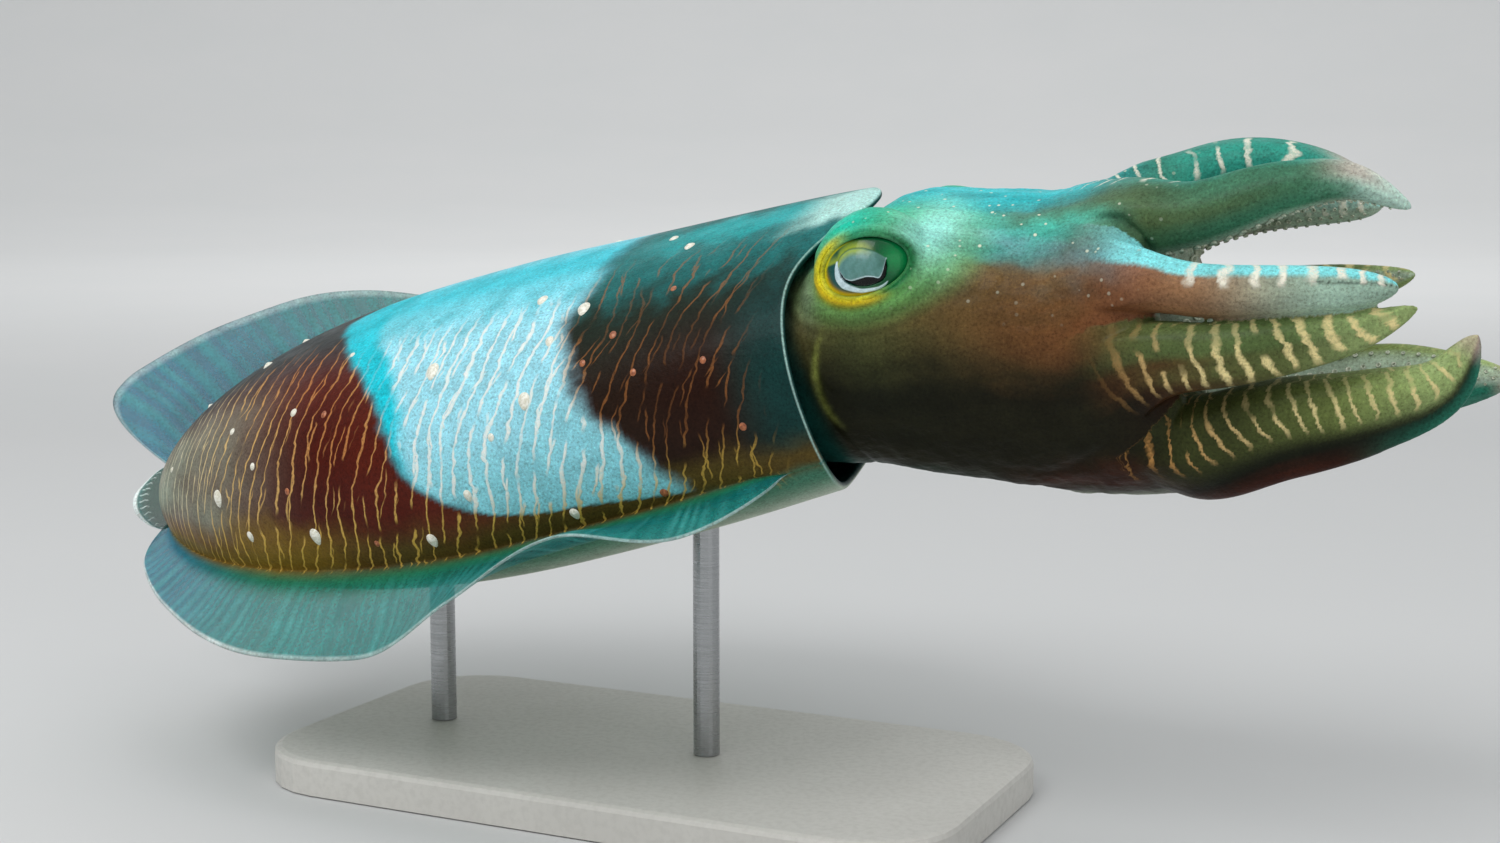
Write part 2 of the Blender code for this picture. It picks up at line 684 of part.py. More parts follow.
def build_arm(arm, finish, parent):
    """One arm as a root length and a tip length, each with its suckers."""
    angle = turns(ARM_SIDES)
    split = 0.52
    half_gap = 0.5 * GAP / arm.length
    root_end, tip_start = split - half_gap, split + half_gap
    lengths = (
        ("root", 0.0, root_end, (0, 0.05, 0.1, 0.16, 0.22, 0.29, 0.36, 0.44, root_end)),
        ("tip", tip_start, 1.0, (tip_start, 0.60, 0.68, 0.76, 0.83, 0.89, 0.94, 0.975, 0.993)),
    )
    for word, start, end, shares in lengths:
        rings = arm.surface(np.array(shares), angle)
        name = f"{arm.name}_{word}"
        last = arm.line(1.0)[0] if word == "tip" else None
        piece = add_object(name, loft(name, rings, last=last), finish, parent)
        join_and_cut(piece, arm_suckers(arm, start, end), [], "MANIFOLD")


def build_mouth(flesh, horn, parent):
    """The lips inside the ring of arms, with the beak between them."""
    angle = turns(18)
    profile = (
        (0.0, 0.0128), (0.006, 0.0122), (0.011, 0.0098), (0.0135, 0.0070), (0.0125, 0.0048), (0.0085, 0.0042)
    )
    rings = []
    for ahead, radius in profile:
        y, z = oval(angle, radius, radius, radius)
        rings.append(np.stack([np.full_like(y, CROWN_X + GAP + ahead), y, z + CROWN_CENTRE_Z], -1))
    add_object("mouth", loft("mouth", rings), flesh, parent)
    tip = CROWN_X + GAP + 0.0165
    beak = []
    for ahead, radius, drop in (
        (0.0088, 0.0036, 0.0), (0.012, 0.0036, 0.0), (0.0145, 0.0026, -0.0005), (0.0160, 0.0012, -0.0014)
    ):
        y, z = oval(turns(10), radius * 0.9, radius, radius)
        beak.append(np.stack([np.full_like(y, CROWN_X + GAP + ahead), y, z + CROWN_CENTRE_Z + drop], -1))
    add_object("beak", loft("beak", beak, last=np.array([tip, 0, CROWN_CENTRE_Z - 0.002])), horn, parent)


def build_funnel(finish, parent):
    """The funnel under the head, open at its front."""
    angle = turns(18)
    outer = (
        (-COLLAR_DEPTH + GAP, 0.0080, -0.0288),
        (0.004, 0.0078, -0.0345),
        (0.022, 0.0074, -0.0422),
        (0.034, 0.0066, -0.0475),
    )
    inner = ((0.0345, 0.0050, -0.0477), (0.020, 0.0044, -0.0416))
    rings = []
    for x, radius, z_middle in outer + inner:
        y, z = oval(angle, radius * 1.1, radius * 0.9, radius * 0.9)
        rings.append(neck_twist(np.stack([np.full_like(y, x), y, z + z_middle], -1)))
    add_object("funnel", loft("funnel", rings), finish, parent)


def rounded_plate(name, length, width, height, corner, bevel):
    """A flat plate with round corners and an eased top edge, standing on z = 0."""
    outline = []
    for x_side, y_side, start in ((1, 1, 0), (-1, 1, 90), (-1, -1, 180), (1, -1, 270)):
        for step in range(7):
            a = math.radians(start + 15 * step)
            outline.append((
                x_side * (length / 2 - corner) + corner * math.cos(a),
                y_side * (width / 2 - corner) + corner * math.sin(a),
            ))
    outline = np.array(outline)
    inward = outline / np.array([length / 2, width / 2])
    rings = [np.column_stack([outline - inward * shrink, np.full(len(outline), z)]) for z, shrink in (
        (0.0, 0.0), (height - bevel, 0.0), (height - 0.3 * bevel, 0.3 * bevel), (height, bevel),
    )]
    return loft(name, rings)


def build_stand(finish, metal, mantle):
    """A flat base and two upright rods whose tops fit under the mantle."""
    base_height = 0.012
    add_object("stand_base", rounded_plate("stand_base", 0.250, 0.130, base_height, 0.030, 0.002), finish)
    clear = bpy.data.objects.new("mantle_and_gap", mantle.data.copy())
    clear.matrix_world = mantle.matrix_world
    for vertex, normal in zip(clear.data.vertices, [v.normal.copy() for v in mantle.data.vertices]):
        vertex.co += normal * GAP
    for word, t in (("front", 0.24), ("rear", 0.62)):
        under = mantle.matrix_world @ Vector(mantle_point(t, math.pi))
        rings = []
        for z in (base_height + GAP, under.z + 0.010):
            y, x = oval(turns(20), 0.0045, 0.0045, 0.0045)
            rings.append(np.stack([x + under.x, y, np.full_like(x, z)], -1))
        rod = add_object(f"stand_rod_{word}", loft(f"stand_rod_{word}", rings), metal)
        cut_by(rod, clear)
    bpy.data.objects.remove(clear)


def cut_by(thing, cutter):
    """Takes one object's solid away from another."""
    mesh = cutter.data.copy()
    mesh.transform(thing.matrix_world.inverted() @ cutter.matrix_world)
    join_and_cut(thing, [], [mesh])


def build():
    """The whole model."""
    for thing in list(bpy.data.objects):
        bpy.data.objects.remove(thing)
    pose = bpy.data.objects.new("swimming_pose", None)
    bpy.context.scene.collection.objects.link(pose)
    pose.matrix_world = (
        Matrix.Translation((NECK_FORWARD, 0, NECK_HEIGHT))
        @ Matrix.Rotation(-NOSE_UP, 4, "Y")
        @ Matrix.Rotation(RIGHT_SIDE_DOWN, 4, "X")
    )
    head_pose = bpy.data.objects.new("head_pose", None)
    bpy.context.scene.collection.objects.link(head_pose)
    head_pose.parent = pose
    head_pose.rotation_euler = (-HEAD_UNROLL, 0, 0)
    bpy.context.view_layer.update()
    mantle_skin = material("mantle_skin", (0.20, 0.055, 0.03), 0.45)
    head_skin = material("head_skin", (0.22, 0.14, 0.07), 0.45)
    arm_skin = material("arm_skin", (0.30, 0.19, 0.09), 0.45)
    fin_skin = material("fin_skin", (0.45, 0.72, 0.70), 0.35)
    eye_finish = material("eye", (0.02, 0.03, 0.03), 0.08)
    horn = material("beak", (0.05, 0.03, 0.02), 0.3)
    board = material("stand_board", (0.75, 0.74, 0.71), 0.5)
    metal = material("stand_metal", (0.6, 0.6, 0.6), 0.3, 1.0)
    mantle = build_mantle(mantle_skin, pose)
    build_head(head_skin, head_pose)
    build_eyes(eye_finish, head_pose)
    build_fin(-1, "right", fin_skin, pose)
    build_fin(1, "left", fin_skin, pose)
    build_funnel(head_skin, head_pose)
    build_mouth(head_skin, horn, head_pose)
    for arm in all_arms():
        build_arm(arm, arm_skin, head_pose)
    bpy.context.view_layer.update()
    build_stand(board, metal, mantle)


build()
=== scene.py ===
"""Looks of the broadclub cuttlefish model: one skin over mantle, fins, head and arms, with its eyes,
suckers and papillae, the stand's finishes, and a plain studio round it."""
import math

import bmesh
import bpy
import numpy as np
from mathutils import Matrix, Vector
from mathutils.kdtree import KDTree


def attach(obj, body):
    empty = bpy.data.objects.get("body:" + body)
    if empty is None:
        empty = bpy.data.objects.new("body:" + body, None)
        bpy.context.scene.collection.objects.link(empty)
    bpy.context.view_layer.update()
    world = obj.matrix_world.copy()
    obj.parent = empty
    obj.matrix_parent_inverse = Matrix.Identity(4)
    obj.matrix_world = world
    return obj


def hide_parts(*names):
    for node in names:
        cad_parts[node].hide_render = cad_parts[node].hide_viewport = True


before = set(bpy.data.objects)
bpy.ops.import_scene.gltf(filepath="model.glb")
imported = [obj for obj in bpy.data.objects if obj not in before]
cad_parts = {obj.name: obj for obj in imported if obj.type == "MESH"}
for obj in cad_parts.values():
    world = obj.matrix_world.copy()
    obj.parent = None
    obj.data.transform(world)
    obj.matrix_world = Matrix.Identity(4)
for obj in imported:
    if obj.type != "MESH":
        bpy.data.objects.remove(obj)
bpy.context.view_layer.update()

GAP = 0.0003

# The pose of the whole animal above the stand
NECK_HEIGHT = 0.155
NECK_FORWARD = 0.077
NOSE_UP = math.radians(15.8)
RIGHT_SIDE_DOWN = math.radians(18.0)
HEAD_UNROLL = math.radians(13.0)    # the head is held a little more level than the mantle

# Mantle
MANTLE_LENGTH = 0.287
MANTLE_HALF_WIDTH = 0.071
MANTLE_TOP = 0.053
MANTLE_BOTTOM = 0.0435
MANTLE_WIDEST = 0.42          # share of the length, from the front
MANTLE_SQUARENESS = 2.25
TAIL_LIFT = 0.0085            # how far the tail's end bends up
LOBE_REACH = 0.022            # the pointed front lobe of the back
LOBE_HALF_ANGLE = math.radians(24)
BELLY_NOTCH = 0.014           # how far the front edge draws back below the funnel
BELLY_NOTCH_HALF_ANGLE = math.radians(48)
COLLAR_WALL = 0.0026
COLLAR_DEPTH = 0.014

# Head, as x, half width, top and bottom from the neck to the arm crown
CROWN_X = 0.075
HEAD_STATIONS = (
    (-COLLAR_DEPTH + GAP, 0.0480, 0.0355, -0.033),
    (0.005, 0.0495, 0.0365, -0.040),
    (0.018, 0.0495, 0.0375, -0.047),
    (0.032, 0.0490, 0.0405, -0.053),
    (0.055, 0.0475, 0.0345, -0.061),
    (CROWN_X, 0.0460, 0.0285, -0.066),
)
HEAD_SQUARENESS = 2.15
FUNNEL_GROOVE = 0.0150
FUNNEL_GROOVE_ANGLE = math.radians(22)

# Eyes
EYE_X = 0.0276
EYE_SIDE = 0.0445
EYE_HEIGHT = 0.0225
EYE_SUNK = 0.0092             # the eyeball's middle, inwards from the point above
EYE_RADIUS = 0.0175
EYE_INSET = 0.0002            # how much smaller the finished ball is
EYE_FORWARD, EYE_UP = 0.10, 0.22   # how far an eye looks forwards and up for each step outwards
EYE_BULGE = 0.0085
EYE_BULGE_SPREAD = 0.0165
LID_THICKNESS = 0.0013
LID_OPENING = (0.0140, 0.0094)  # half length and half height
OPENING_MM = tuple(1000 * half for half in LID_OPENING)

# Fins
FIN_ANGLE = math.radians(112)  # from the back's midline, round the mantle's side
FIN_START, FIN_END = 0.045, 0.985
FIN_WIDTH = 0.036
FIN_ROOT_THICKNESS = 0.0050
FIN_EDGE_THICKNESS = 0.0009
# How wide each fin is towards its rear, as (share of the root's length, factor)
FIN_REAR = {
    -1: ((0.0, 1.0), (0.66, 1.0), (0.85, 0.66), (1.0, 0.32)),
    1: ((0.0, 1.0), (0.60, 1.1), (0.80, 1.56), (0.93, 1.60), (1.0, 1.28)),
}
FIN_END_ROUNDING = {-1: 0.07, 1: 0.05}
FIN_STRETCH = {-1: 1.0, 1: 1.30}
# How far each fin's wave lifts it, as (share of the root's length, degrees); -1 is the right side
FIN_LIFT = {
    -1: ((0.0, -11), (0.10, -3), (0.23, 22), (0.38, 3), (0.54, -23), (0.72, -15), (0.88, -9), (1.0, 2)),
    1: ((0.0, -12), (0.18, 14), (0.42, -14), (0.60, 40), (0.73, 60), (0.85, 55), (0.95, 42), (1.0, 34)),
}
FIN_SWEEP = {-1: math.radians(22), 1: math.radians(80)}   # how far the rear of each fin swings back

# Arms
CROWN_CENTRE_Z = -0.016
MOUTH_RADIUS = 0.0140
ARM_SQUARENESS = 2.3
ARM_BURIED = 0.005            # how far an arm's skin starts inside the head
ARM_FLARE = 0.16              # how much thicker an arm is at its root than its taper alone gives
SECTOR_HOLD = 0.25            # up to this share of its length an arm stays in its sector of the crown
KEEL_HALF_ANGLE = math.radians(19)

# How finely the skin and the small pieces are divided
MANTLE_ROWS = 300
UPPER_COLUMNS = 110
LOWER_COLUMNS = 60
FIN_COLUMNS = 34
COLLAR_ROWS = 8
FILM_ROWS, FILM_COLUMNS = 90, 26
HEAD_ROWS, HEAD_COLUMNS = 90, 180
LID_ROWS, LID_COLUMNS = 40, 64
LID_RIM_ROWS, LID_RIM_SIDES = 240, 14
FUNNEL_COLUMNS, MOUTH_COLUMNS, BEAK_COLUMNS = 48, 60, 40
ARM_ROWS, ARM_TIP_ROWS, ARM_COLUMNS = 90, 15, 64
EYE_FRONT_ROWS, EYE_REAR_ROWS, EYE_COLUMNS = 120, 18, 260
SUCKER_COLUMNS, PAPILLA_COLUMNS, FLOOR_COLUMNS = 14, 16, 96
VOXEL = 0.00068
# The soft joint of fins and mantle: rounds of smoothing, and how many columns it reaches
FILLET_ROUNDS, FILLET_COLUMNS = 10, 4.0
# Rounds of smoothing: of the whole head, of its blend into the arms and lids, and of the lids' edges
HEAD_ROUNDS, BLEND_ROUNDS, LID_ROUNDS = 9, 55, 6

# Fine shapes of the finished skin
# How far the fins' edges bend, up on the left and down on the right, and how that changes along them
FIN_EDGE_BEND, FIN_EDGE_TURN = 0.0007, 0.12
LID_RIM_RADIUS, LID_RIM_LIFT = 0.00105, -0.0010
SUCKERS_A_ROW = 22
SUCKER_TURNS = (-0.78, -0.28, 0.28, 0.78)
SUCKER_RADIUS = 0.00165
# Sections of a sucker and of a skin point, as (radius, height) in radii
CUP_PROFILE = (
    (0.45, -0.9), (0.50, -0.1), (0.92, 0.25), (1.0, 0.62),
    (0.88, 0.90), (0.62, 0.84), (0.42, 0.45), (0.25, 0.1),
)
PAPILLA_PROFILE = ((1.15, -0.3), (1.0, 0.12), (0.82, 0.36), (0.5, 0.62), (0.22, 0.85))
# The film at the tail, from and to these degrees round it: its place along the mantle and its sizes
FILM_FROM, FILM_TO = 104, 14
FILM_T, FILM_WIDTH, FILM_HALF_THICKNESS = 0.968, 0.0110, 0.00035

# The funnel, as (x, radius, z of its middle); the lips and the beak, as (ahead of the crown, radius, drop)
FUNNEL_STATIONS = (
    (-COLLAR_DEPTH + GAP, 0.0080, -0.0288), (0.004, 0.0078, -0.0345), (0.022, 0.0074, -0.0422),
    (0.034, 0.0066, -0.0475), (0.0352, 0.0061, -0.0478), (0.0345, 0.0052, -0.0477), (0.020, 0.0044, -0.0416),
)
LIPS_PROFILE = (
    (-0.004, 0.0128, 0.0), (0.0, 0.0128, 0.0), (0.006, 0.0122, 0.0), (0.011, 0.0098, 0.0),
    (0.0135, 0.0070, 0.0), (0.0125, 0.0048, 0.0), (0.0085, 0.0042, 0.0),
)
LIPS_RUFFLE = 0.0006
BEAK_PROFILE = (
    (0.0080, 0.0034, 0.0), (0.0105, 0.0036, 0.0), (0.0125, 0.0034, -0.0001), (0.0142, 0.0027, -0.0005),
    (0.0156, 0.0016, -0.0011), (0.0162, 0.0008, -0.0016),
)
BEAK_TIP = (CROWN_X + GAP + 0.0165, 0, CROWN_CENTRE_Z - 0.002)

# Each pair of arms: its sector of the crown in degrees, its section, and the middle lines of its right
# and left arm past the crown, as (x, sideways, z)
ARM_PAIRS = (
    (
        (0, 40),
        dict(half_width=0.0115, outer=0.0100, inner=0.0105, keel=0.0015, keel_turn=90, taper=0.26, blunt=3.0),
        ((0.102, 0.0170, 0.0135), (0.122, 0.0215, 0.0115), (0.146, 0.0220, 0.0120), (0.162, 0.0200, 0.0090),
         (0.176, 0.0170, -0.0030)),
        ((0.102, 0.0170, 0.0180), (0.122, 0.0220, 0.0200), (0.140, 0.0220, 0.0160), (0.155, 0.0210, 0.0080),
         (0.166, 0.0190, -0.0030)),
    ),
    (
        (40, 84),
        dict(half_width=0.0080, outer=0.0082, inner=0.0070, keel=0.0, keel_turn=90, taper=0.16, blunt=9.0),
        ((0.102, 0.0360, -0.0025), (0.121, 0.0410, -0.0090), (0.148, 0.0400, -0.0160),
         (0.170, 0.0360, -0.0215)),
        ((0.102, 0.0370, 0.0050), (0.120, 0.0460, 0.0050), (0.143, 0.0460, 0.0010), (0.160, 0.0420, -0.0040)),
    ),
    (
        (84, 128),
        dict(half_width=0.0112, outer=0.0088, inner=0.0065, keel=0.0025, keel_turn=55, taper=0.28, blunt=3.4),
        ((0.102, 0.038, -0.0240), (0.118, 0.042, -0.0265), (0.141, 0.041, -0.0290), (0.158, 0.038, -0.0298),
         (0.173, 0.034, -0.0280)),
        ((0.102, 0.039, -0.0220), (0.118, 0.045, -0.0225), (0.138, 0.045, -0.0245), (0.155, 0.041, -0.0260),
         (0.165, 0.036, -0.0260)),
    ),
    (
        (128, 180),
        dict(half_width=0.0170, outer=0.0125, inner=0.0105, keel=0.005, keel_turn=40, taper=0.30, blunt=3.6,
             twist=32),
        ((0.104, 0.0240, -0.0525), (0.128, 0.0290, -0.0508), (0.152, 0.0280, -0.0518),
         (0.173, 0.0260, -0.0500), (0.185, 0.0250, -0.0400)),
        ((0.104, 0.0235, -0.0500), (0.128, 0.0290, -0.0540), (0.152, 0.0275, -0.0545),
         (0.172, 0.0225, -0.0580), (0.187, 0.0190, -0.0610)),
    ),
)

# The web of skin at the arms' roots, as (ahead of the head's front edge, share of its radius at the back
# and sides, and at the belly)
WEB_PROFILE = (
    (-0.016, 0.80, 0.80), (-0.016, 0.975, 0.985), (-0.006, 0.995, 1.0), (0.002, 1.0, 1.018),
    (0.009, 1.0, 1.042), (0.016, 0.985, 1.060), (0.023, 0.93, 1.065), (0.029, 0.82, 1.02),
    (0.029, 0.66, 0.80), (0.010, 0.62, 0.62), (-0.006, 0.64, 0.64),
)

# The saddle's rear and front edges on the mantle, as (degrees from the back's midline, share of length)
SADDLE_REAR = (
    (0, 0.625), (18, 0.585), (33, 0.534), (56, 0.482), (74, 0.470), (86, 0.432), (93, 0.378),
    (97, 0.320), (100, 0.248), (104, 0.175), (109, 0.10),
)
SADDLE_FRONT = (
    (0, 0.238), (21, 0.238), (37, 0.252), (57, 0.246), (72, 0.222), (88, 0.180), (100, 0.150), (109, 0.14),
)

# Marks of the eye, in millimetres forwards and up from the marks' middle: the slit between its two
# edges, the flap's top above it, and the white crescent with its half width
SLIT_LOW = (
    (-8.7, 0.9), (-8.0, -0.1), (-7.0, -1.0), (-4.0, -2.9), (-0.2, -3.6), (2.8, -3.2), (4.7, -2.0), (5.9, 0.8),
)
SLIT_HIGH = (
    (-8.7, 3.6), (-8.1, 2.0), (-7.0, -0.1), (-4.8, -1.1), (-1.0, -1.0), (1.3, -1.5), (2.7, -2.1),
    (3.9, -1.1), (5.0, 0.9), (5.9, 3.0),
)
FLAP_TOP = ((-8.7, 5.2), (-7.2, 7.0), (-4.0, 8.1), (-1.0, 7.7), (2.8, 5.9), (5.9, 3.2))
CRESCENT = (
    (-9.0, 5.6, 0.35), (-9.5, 3.4, 0.75), (-9.6, 1.3, 1.0), (-8.7, -1.0, 1.0), (-6.0, -3.1, 0.75),
    (-2.5, -4.5, 0.55), (1.3, -4.8, 0.45), (3.8, -4.1, 0.3), (4.8, -3.4, 0.1),
)
# Where the middle of these marks is, from the opening's middle
EYE_MARKS_AT = (2.0, -2.8)

# How fine the skin's colour cells, clouds, pale dots and folds and the eye's flecks are, as noise scales
CELL_SCALE, CLOUD_SCALE, DOT_SCALE, FOLD_SCALE, FLECK_SCALE = 1150.0, 95.0, 290.0, 210.0, 1500.0

# The mantle's lines, in millimetres: between them, and the radius that turns angles into widths
LINE_SPACING = 5.9
MANTLE_GIRTH_RADIUS = 60

# Skin points on the mantle: share of length, degrees from the back's midline, radius, lift, colour
PAPILLAE = (
    (0.748, 5, 0.0016, 0.7, "white"), (0.626, 44, 0.0013, 0.7, "white"), (0.736, 44, 0.0011, 0.7, "white"),
    (0.854, 9, 0.0010, 0.7, "white"), (0.692, 62, 0.0011, 0.7, "white"), (0.766, 72, 0.0021, 0.6, "white"),
    (0.730, 89, 0.0014, 0.6, "white"), (0.622, 90, 0.0021, 0.6, "white"), (0.466, 98, 0.0018, 0.6, "white"),
    (0.422, 41, 0.0023, 0.5, "white"), (0.298, 60, 0.0020, 0.5, "white"), (0.282, 101, 0.0015, 0.6, "white"),
    (0.174, 103, 0.0013, 0.4, "amber"), (0.236, 29, 0.0021, 0.5, "white"), (0.146, 7, 0.0017, 0.5, "white"),
    (0.575, 48, 0.0011, 0.4, "amber"), (0.190, 44, 0.0012, 0.4, "amber"), (0.130, 30, 0.0010, 0.4, "amber"),
    (0.165, 60, 0.0010, 0.4, "amber"), (0.085, 62, 0.0010, 0.4, "amber"), (0.225, 52, 0.0010, 0.4, "amber"),
    (0.060, 88, 0.0011, 0.4, "amber"), (0.640, 74, 0.0010, 0.4, "amber"), (0.540, 96, 0.0010, 0.4, "amber"),
    (0.395, 86, 0.0014, 0.6, "white"), (0.345, 70, 0.0011, 0.5, "white"), (0.300, 20, 0.0018, 0.4, "white"),
    (0.270, 40, 0.0014, 0.4, "white"), (0.560, 24, 0.0010, 0.6, "white"), (0.880, 50, 0.0009, 0.6, "white"),
)

# The studio floor's section, as (radius, height), and how far it lies below the board's foot
FLOOR_DROP = 0.0005
BOWL = (
    (0.3, 0), (1.5, 0), (3.0, 0), (4.5, 0.02), (5.5, 0.12), (6.4, 0.36), (7.2, 0.8), (7.9, 1.5), (8.4, 2.6),
    (8.6, 4.2),
)

# Studio lights, as (name, place, what they look at, size, power), and the light from all round
LIGHTS = (
    ("key", (-0.3, -1.3, 1.7), (0, 0, 0.14), 1.1, 19),
    ("fill", (1.9, -1.2, 0.8), (0, 0, 0.14), 1.6, 6),
    ("top", (0.0, 0.4, 2.7), (0, 0, 0.14), 3.0, 16),
    ("backdrop", (-0.9, 2.6, 3.4), (-3.1, 7.2, 0.7), 3.0, 115),
)
WORLD_COLOUR, WORLD_STRENGTH = (0.93, 0.95, 0.96, 1), 0.66

# Camera, fitted on the photograph
IMAGE_WIDTH, SENSOR_WIDTH, FOCAL_PIXELS = 1500, 36.0, 2040.0
CAMERA_YAW, CAMERA_DOWN = math.radians(25.4), math.radians(7.0)
CAMERA_PLACE = (0.3247, -0.6034, 0.2088)


def smooth(t):
    """An ease from 0 to 1 for t from 0 to 1."""
    t = np.clip(t, 0.0, 1.0)
    return t * t * (3 - 2 * t)


def hermite(knots, values, tangents, at):
    """A smooth curve through values at knots, with the given tangents, read at places along it."""
    k = np.clip(np.searchsorted(knots, at, side="right") - 1, 0, len(knots) - 2)
    h = (knots[k + 1] - knots[k])[:, None]
    u = (at - knots[k])[:, None] / h
    return (
        (1 + 2 * u) * (1 - u) ** 2 * values[k]
        + u * (1 - u) ** 2 * h * tangents[k]
        + u * u * (3 - 2 * u) * values[k + 1]
        + u * u * (u - 1) * h * tangents[k + 1]
    )


def unit(vectors):
    """Vectors brought to length 1."""
    return vectors / np.linalg.norm(vectors, axis=-1, keepdims=True)


def through(stations, x):
    """A smooth curve through rows of (x, value, ...), read at x: monotone between rows."""
    table = np.asarray(stations, float)
    xs, ys = table[:, 0], table[:, 1:]
    slope = np.diff(ys, axis=0) / np.diff(xs)[:, None]
    product = slope[:-1] * slope[1:]
    inner = np.where(product > 0, 2 * product / (slope[:-1] + slope[1:] + 1e-12), 0)
    tangents = np.concatenate([slope[:1], inner, slope[-1:]])
    return hermite(xs, ys, tangents, np.atleast_1d(np.asarray(x, float)))


def curve(stations, x):
    """The same for rows of (x, value), in the shape of x."""
    return through(stations, np.ravel(x))[:, 0].reshape(np.shape(x))


def wrapped(angle):
    """An angle brought between minus and plus half a turn."""
    return (angle + math.pi) % (2 * math.pi) - math.pi


def oval(angle, half_width, top, bottom, squareness=2.0):
    """(y, z) of a squarish oval; the angle runs from the back's midline over the right side."""
    c, s = np.cos(angle), np.sin(angle)
    power = 2 / squareness
    y = -half_width * np.sign(s) * np.abs(s) ** power
    z = np.where(c > 0, top, bottom) * np.sign(c) * np.abs(c) ** power
    return y, z


def mantle_scale(t):
    """How full the mantle is at share t of its length, 1 at its widest."""
    rear = np.clip((t - MANTLE_WIDEST) / (1 - MANTLE_WIDEST), 0, 1)
    front = np.clip((MANTLE_WIDEST - t) / MANTLE_WIDEST, 0, 1)
    return (1 - rear**2.3) ** 0.58 * (1 - 0.14 * front**2)


def mantle_point(t, angle, inset=0.0):
    """A point of the mantle's skin, moved inwards by inset; t is 0 at the front edge, 1 at the tail."""
    t, angle = np.broadcast_arrays(np.asarray(t, float), np.asarray(angle, float))
    scale = mantle_scale(t)
    front = np.clip(1 - t / MANTLE_WIDEST, 0, 1)
    y, z = oval(
        angle,
        np.maximum(MANTLE_HALF_WIDTH * scale - inset, 0),
        np.maximum(MANTLE_TOP * scale * (1 - 0.035 * smooth(2 * front)) - inset, 0),
        np.maximum(MANTLE_BOTTOM * (scale + 0.08 * front**2) - inset, 0),
        MANTLE_SQUARENESS,
    )
    turn = np.abs(wrapped(angle))
    lobe = LOBE_REACH * np.exp(-((turn / LOBE_HALF_ANGLE) ** 2))
    notch = BELLY_NOTCH * np.exp(-(((math.pi - turn) / BELLY_NOTCH_HALF_ANGLE) ** 2))
    x = -MANTLE_LENGTH * t + (lobe - notch) * (1 - smooth(t / 0.2))
    return np.stack([x, y, z + TAIL_LIFT * smooth((t - 0.35) / 0.65)], -1)


def mantle_normal(t, angle):
    """The outward normal there, by small differences."""
    small = 1e-4
    along = mantle_point(t + small, angle) - mantle_point(t - small, angle)
    round_it = mantle_point(t, angle + small) - mantle_point(t, angle - small)
    return unit(np.cross(along, round_it))


def neck_twist(point):
    """Turns the neck back into line with the mantle's roll; ahead of it the head is level."""
    turn = HEAD_UNROLL * (1 - smooth((point[..., 0] + COLLAR_DEPTH) / 0.034))
    c, s = np.cos(turn), np.sin(turn)
    y, z = point[..., 1], point[..., 2]
    return np.stack([point[..., 0], c * y - s * z, s * y + c * z], -1)


def head_point(x, angle):
    """A point of the head's skin without its lids, with the bulge over each eye."""
    x, angle = np.broadcast_arrays(np.asarray(x, float), np.asarray(angle, float))
    sizes = through(HEAD_STATIONS, x.ravel()).reshape(x.shape + (3,))
    middle = (sizes[..., 1] + sizes[..., 2]) / 2
    half = (sizes[..., 1] - sizes[..., 2]) / 2
    y, z = oval(angle, sizes[..., 0], half, half, HEAD_SQUARENESS)
    from_belly = math.pi - np.abs(wrapped(angle))
    groove = FUNNEL_GROOVE * np.exp(-((from_belly / FUNNEL_GROOVE_ANGLE) ** 4))
    z = z + groove * (1 - smooth((x - 0.038) / 0.025))
    point = np.stack([x, y, z + middle], -1)
    for side in (-1, 1):
        away = np.linalg.norm(point - eye_bulge(side), axis=-1)
        amount = EYE_BULGE * np.exp(-0.5 * (away / EYE_BULGE_SPREAD) ** 2)
        point = point + amount[..., None] * eye_direction(side)
    return neck_twist(point)


def eye_direction(side):
    """The way an eye looks: outwards, a little up and forwards."""
    return unit(np.array([EYE_FORWARD, side, EYE_UP]))


def eye_bulge(side):
    """The middle of the head's bulge over an eye."""
    return np.array([EYE_X, side * EYE_SIDE, EYE_HEIGHT])


def eye_centre(side):
    """The middle of an eyeball, sunk in the head below its bulge."""
    return eye_bulge(side) - EYE_SUNK * eye_direction(side)


def crown_radius(angle):
    """How far the arm crown's outline is from its centre, in the crown's plane."""
    half_width, top, bottom = HEAD_STATIONS[-1][1:]
    fine = np.linspace(0, 2 * math.pi, 721)
    middle, half = (top + bottom) / 2, (top - bottom) / 2
    y, z = oval(fine, half_width, half, half, HEAD_SQUARENESS)
    z = z + middle - CROWN_CENTRE_Z
    turn = np.unwrap(np.arctan2(-y, z))
    return np.interp(np.asarray(angle) % (2 * math.pi), turn, np.hypot(y, z))


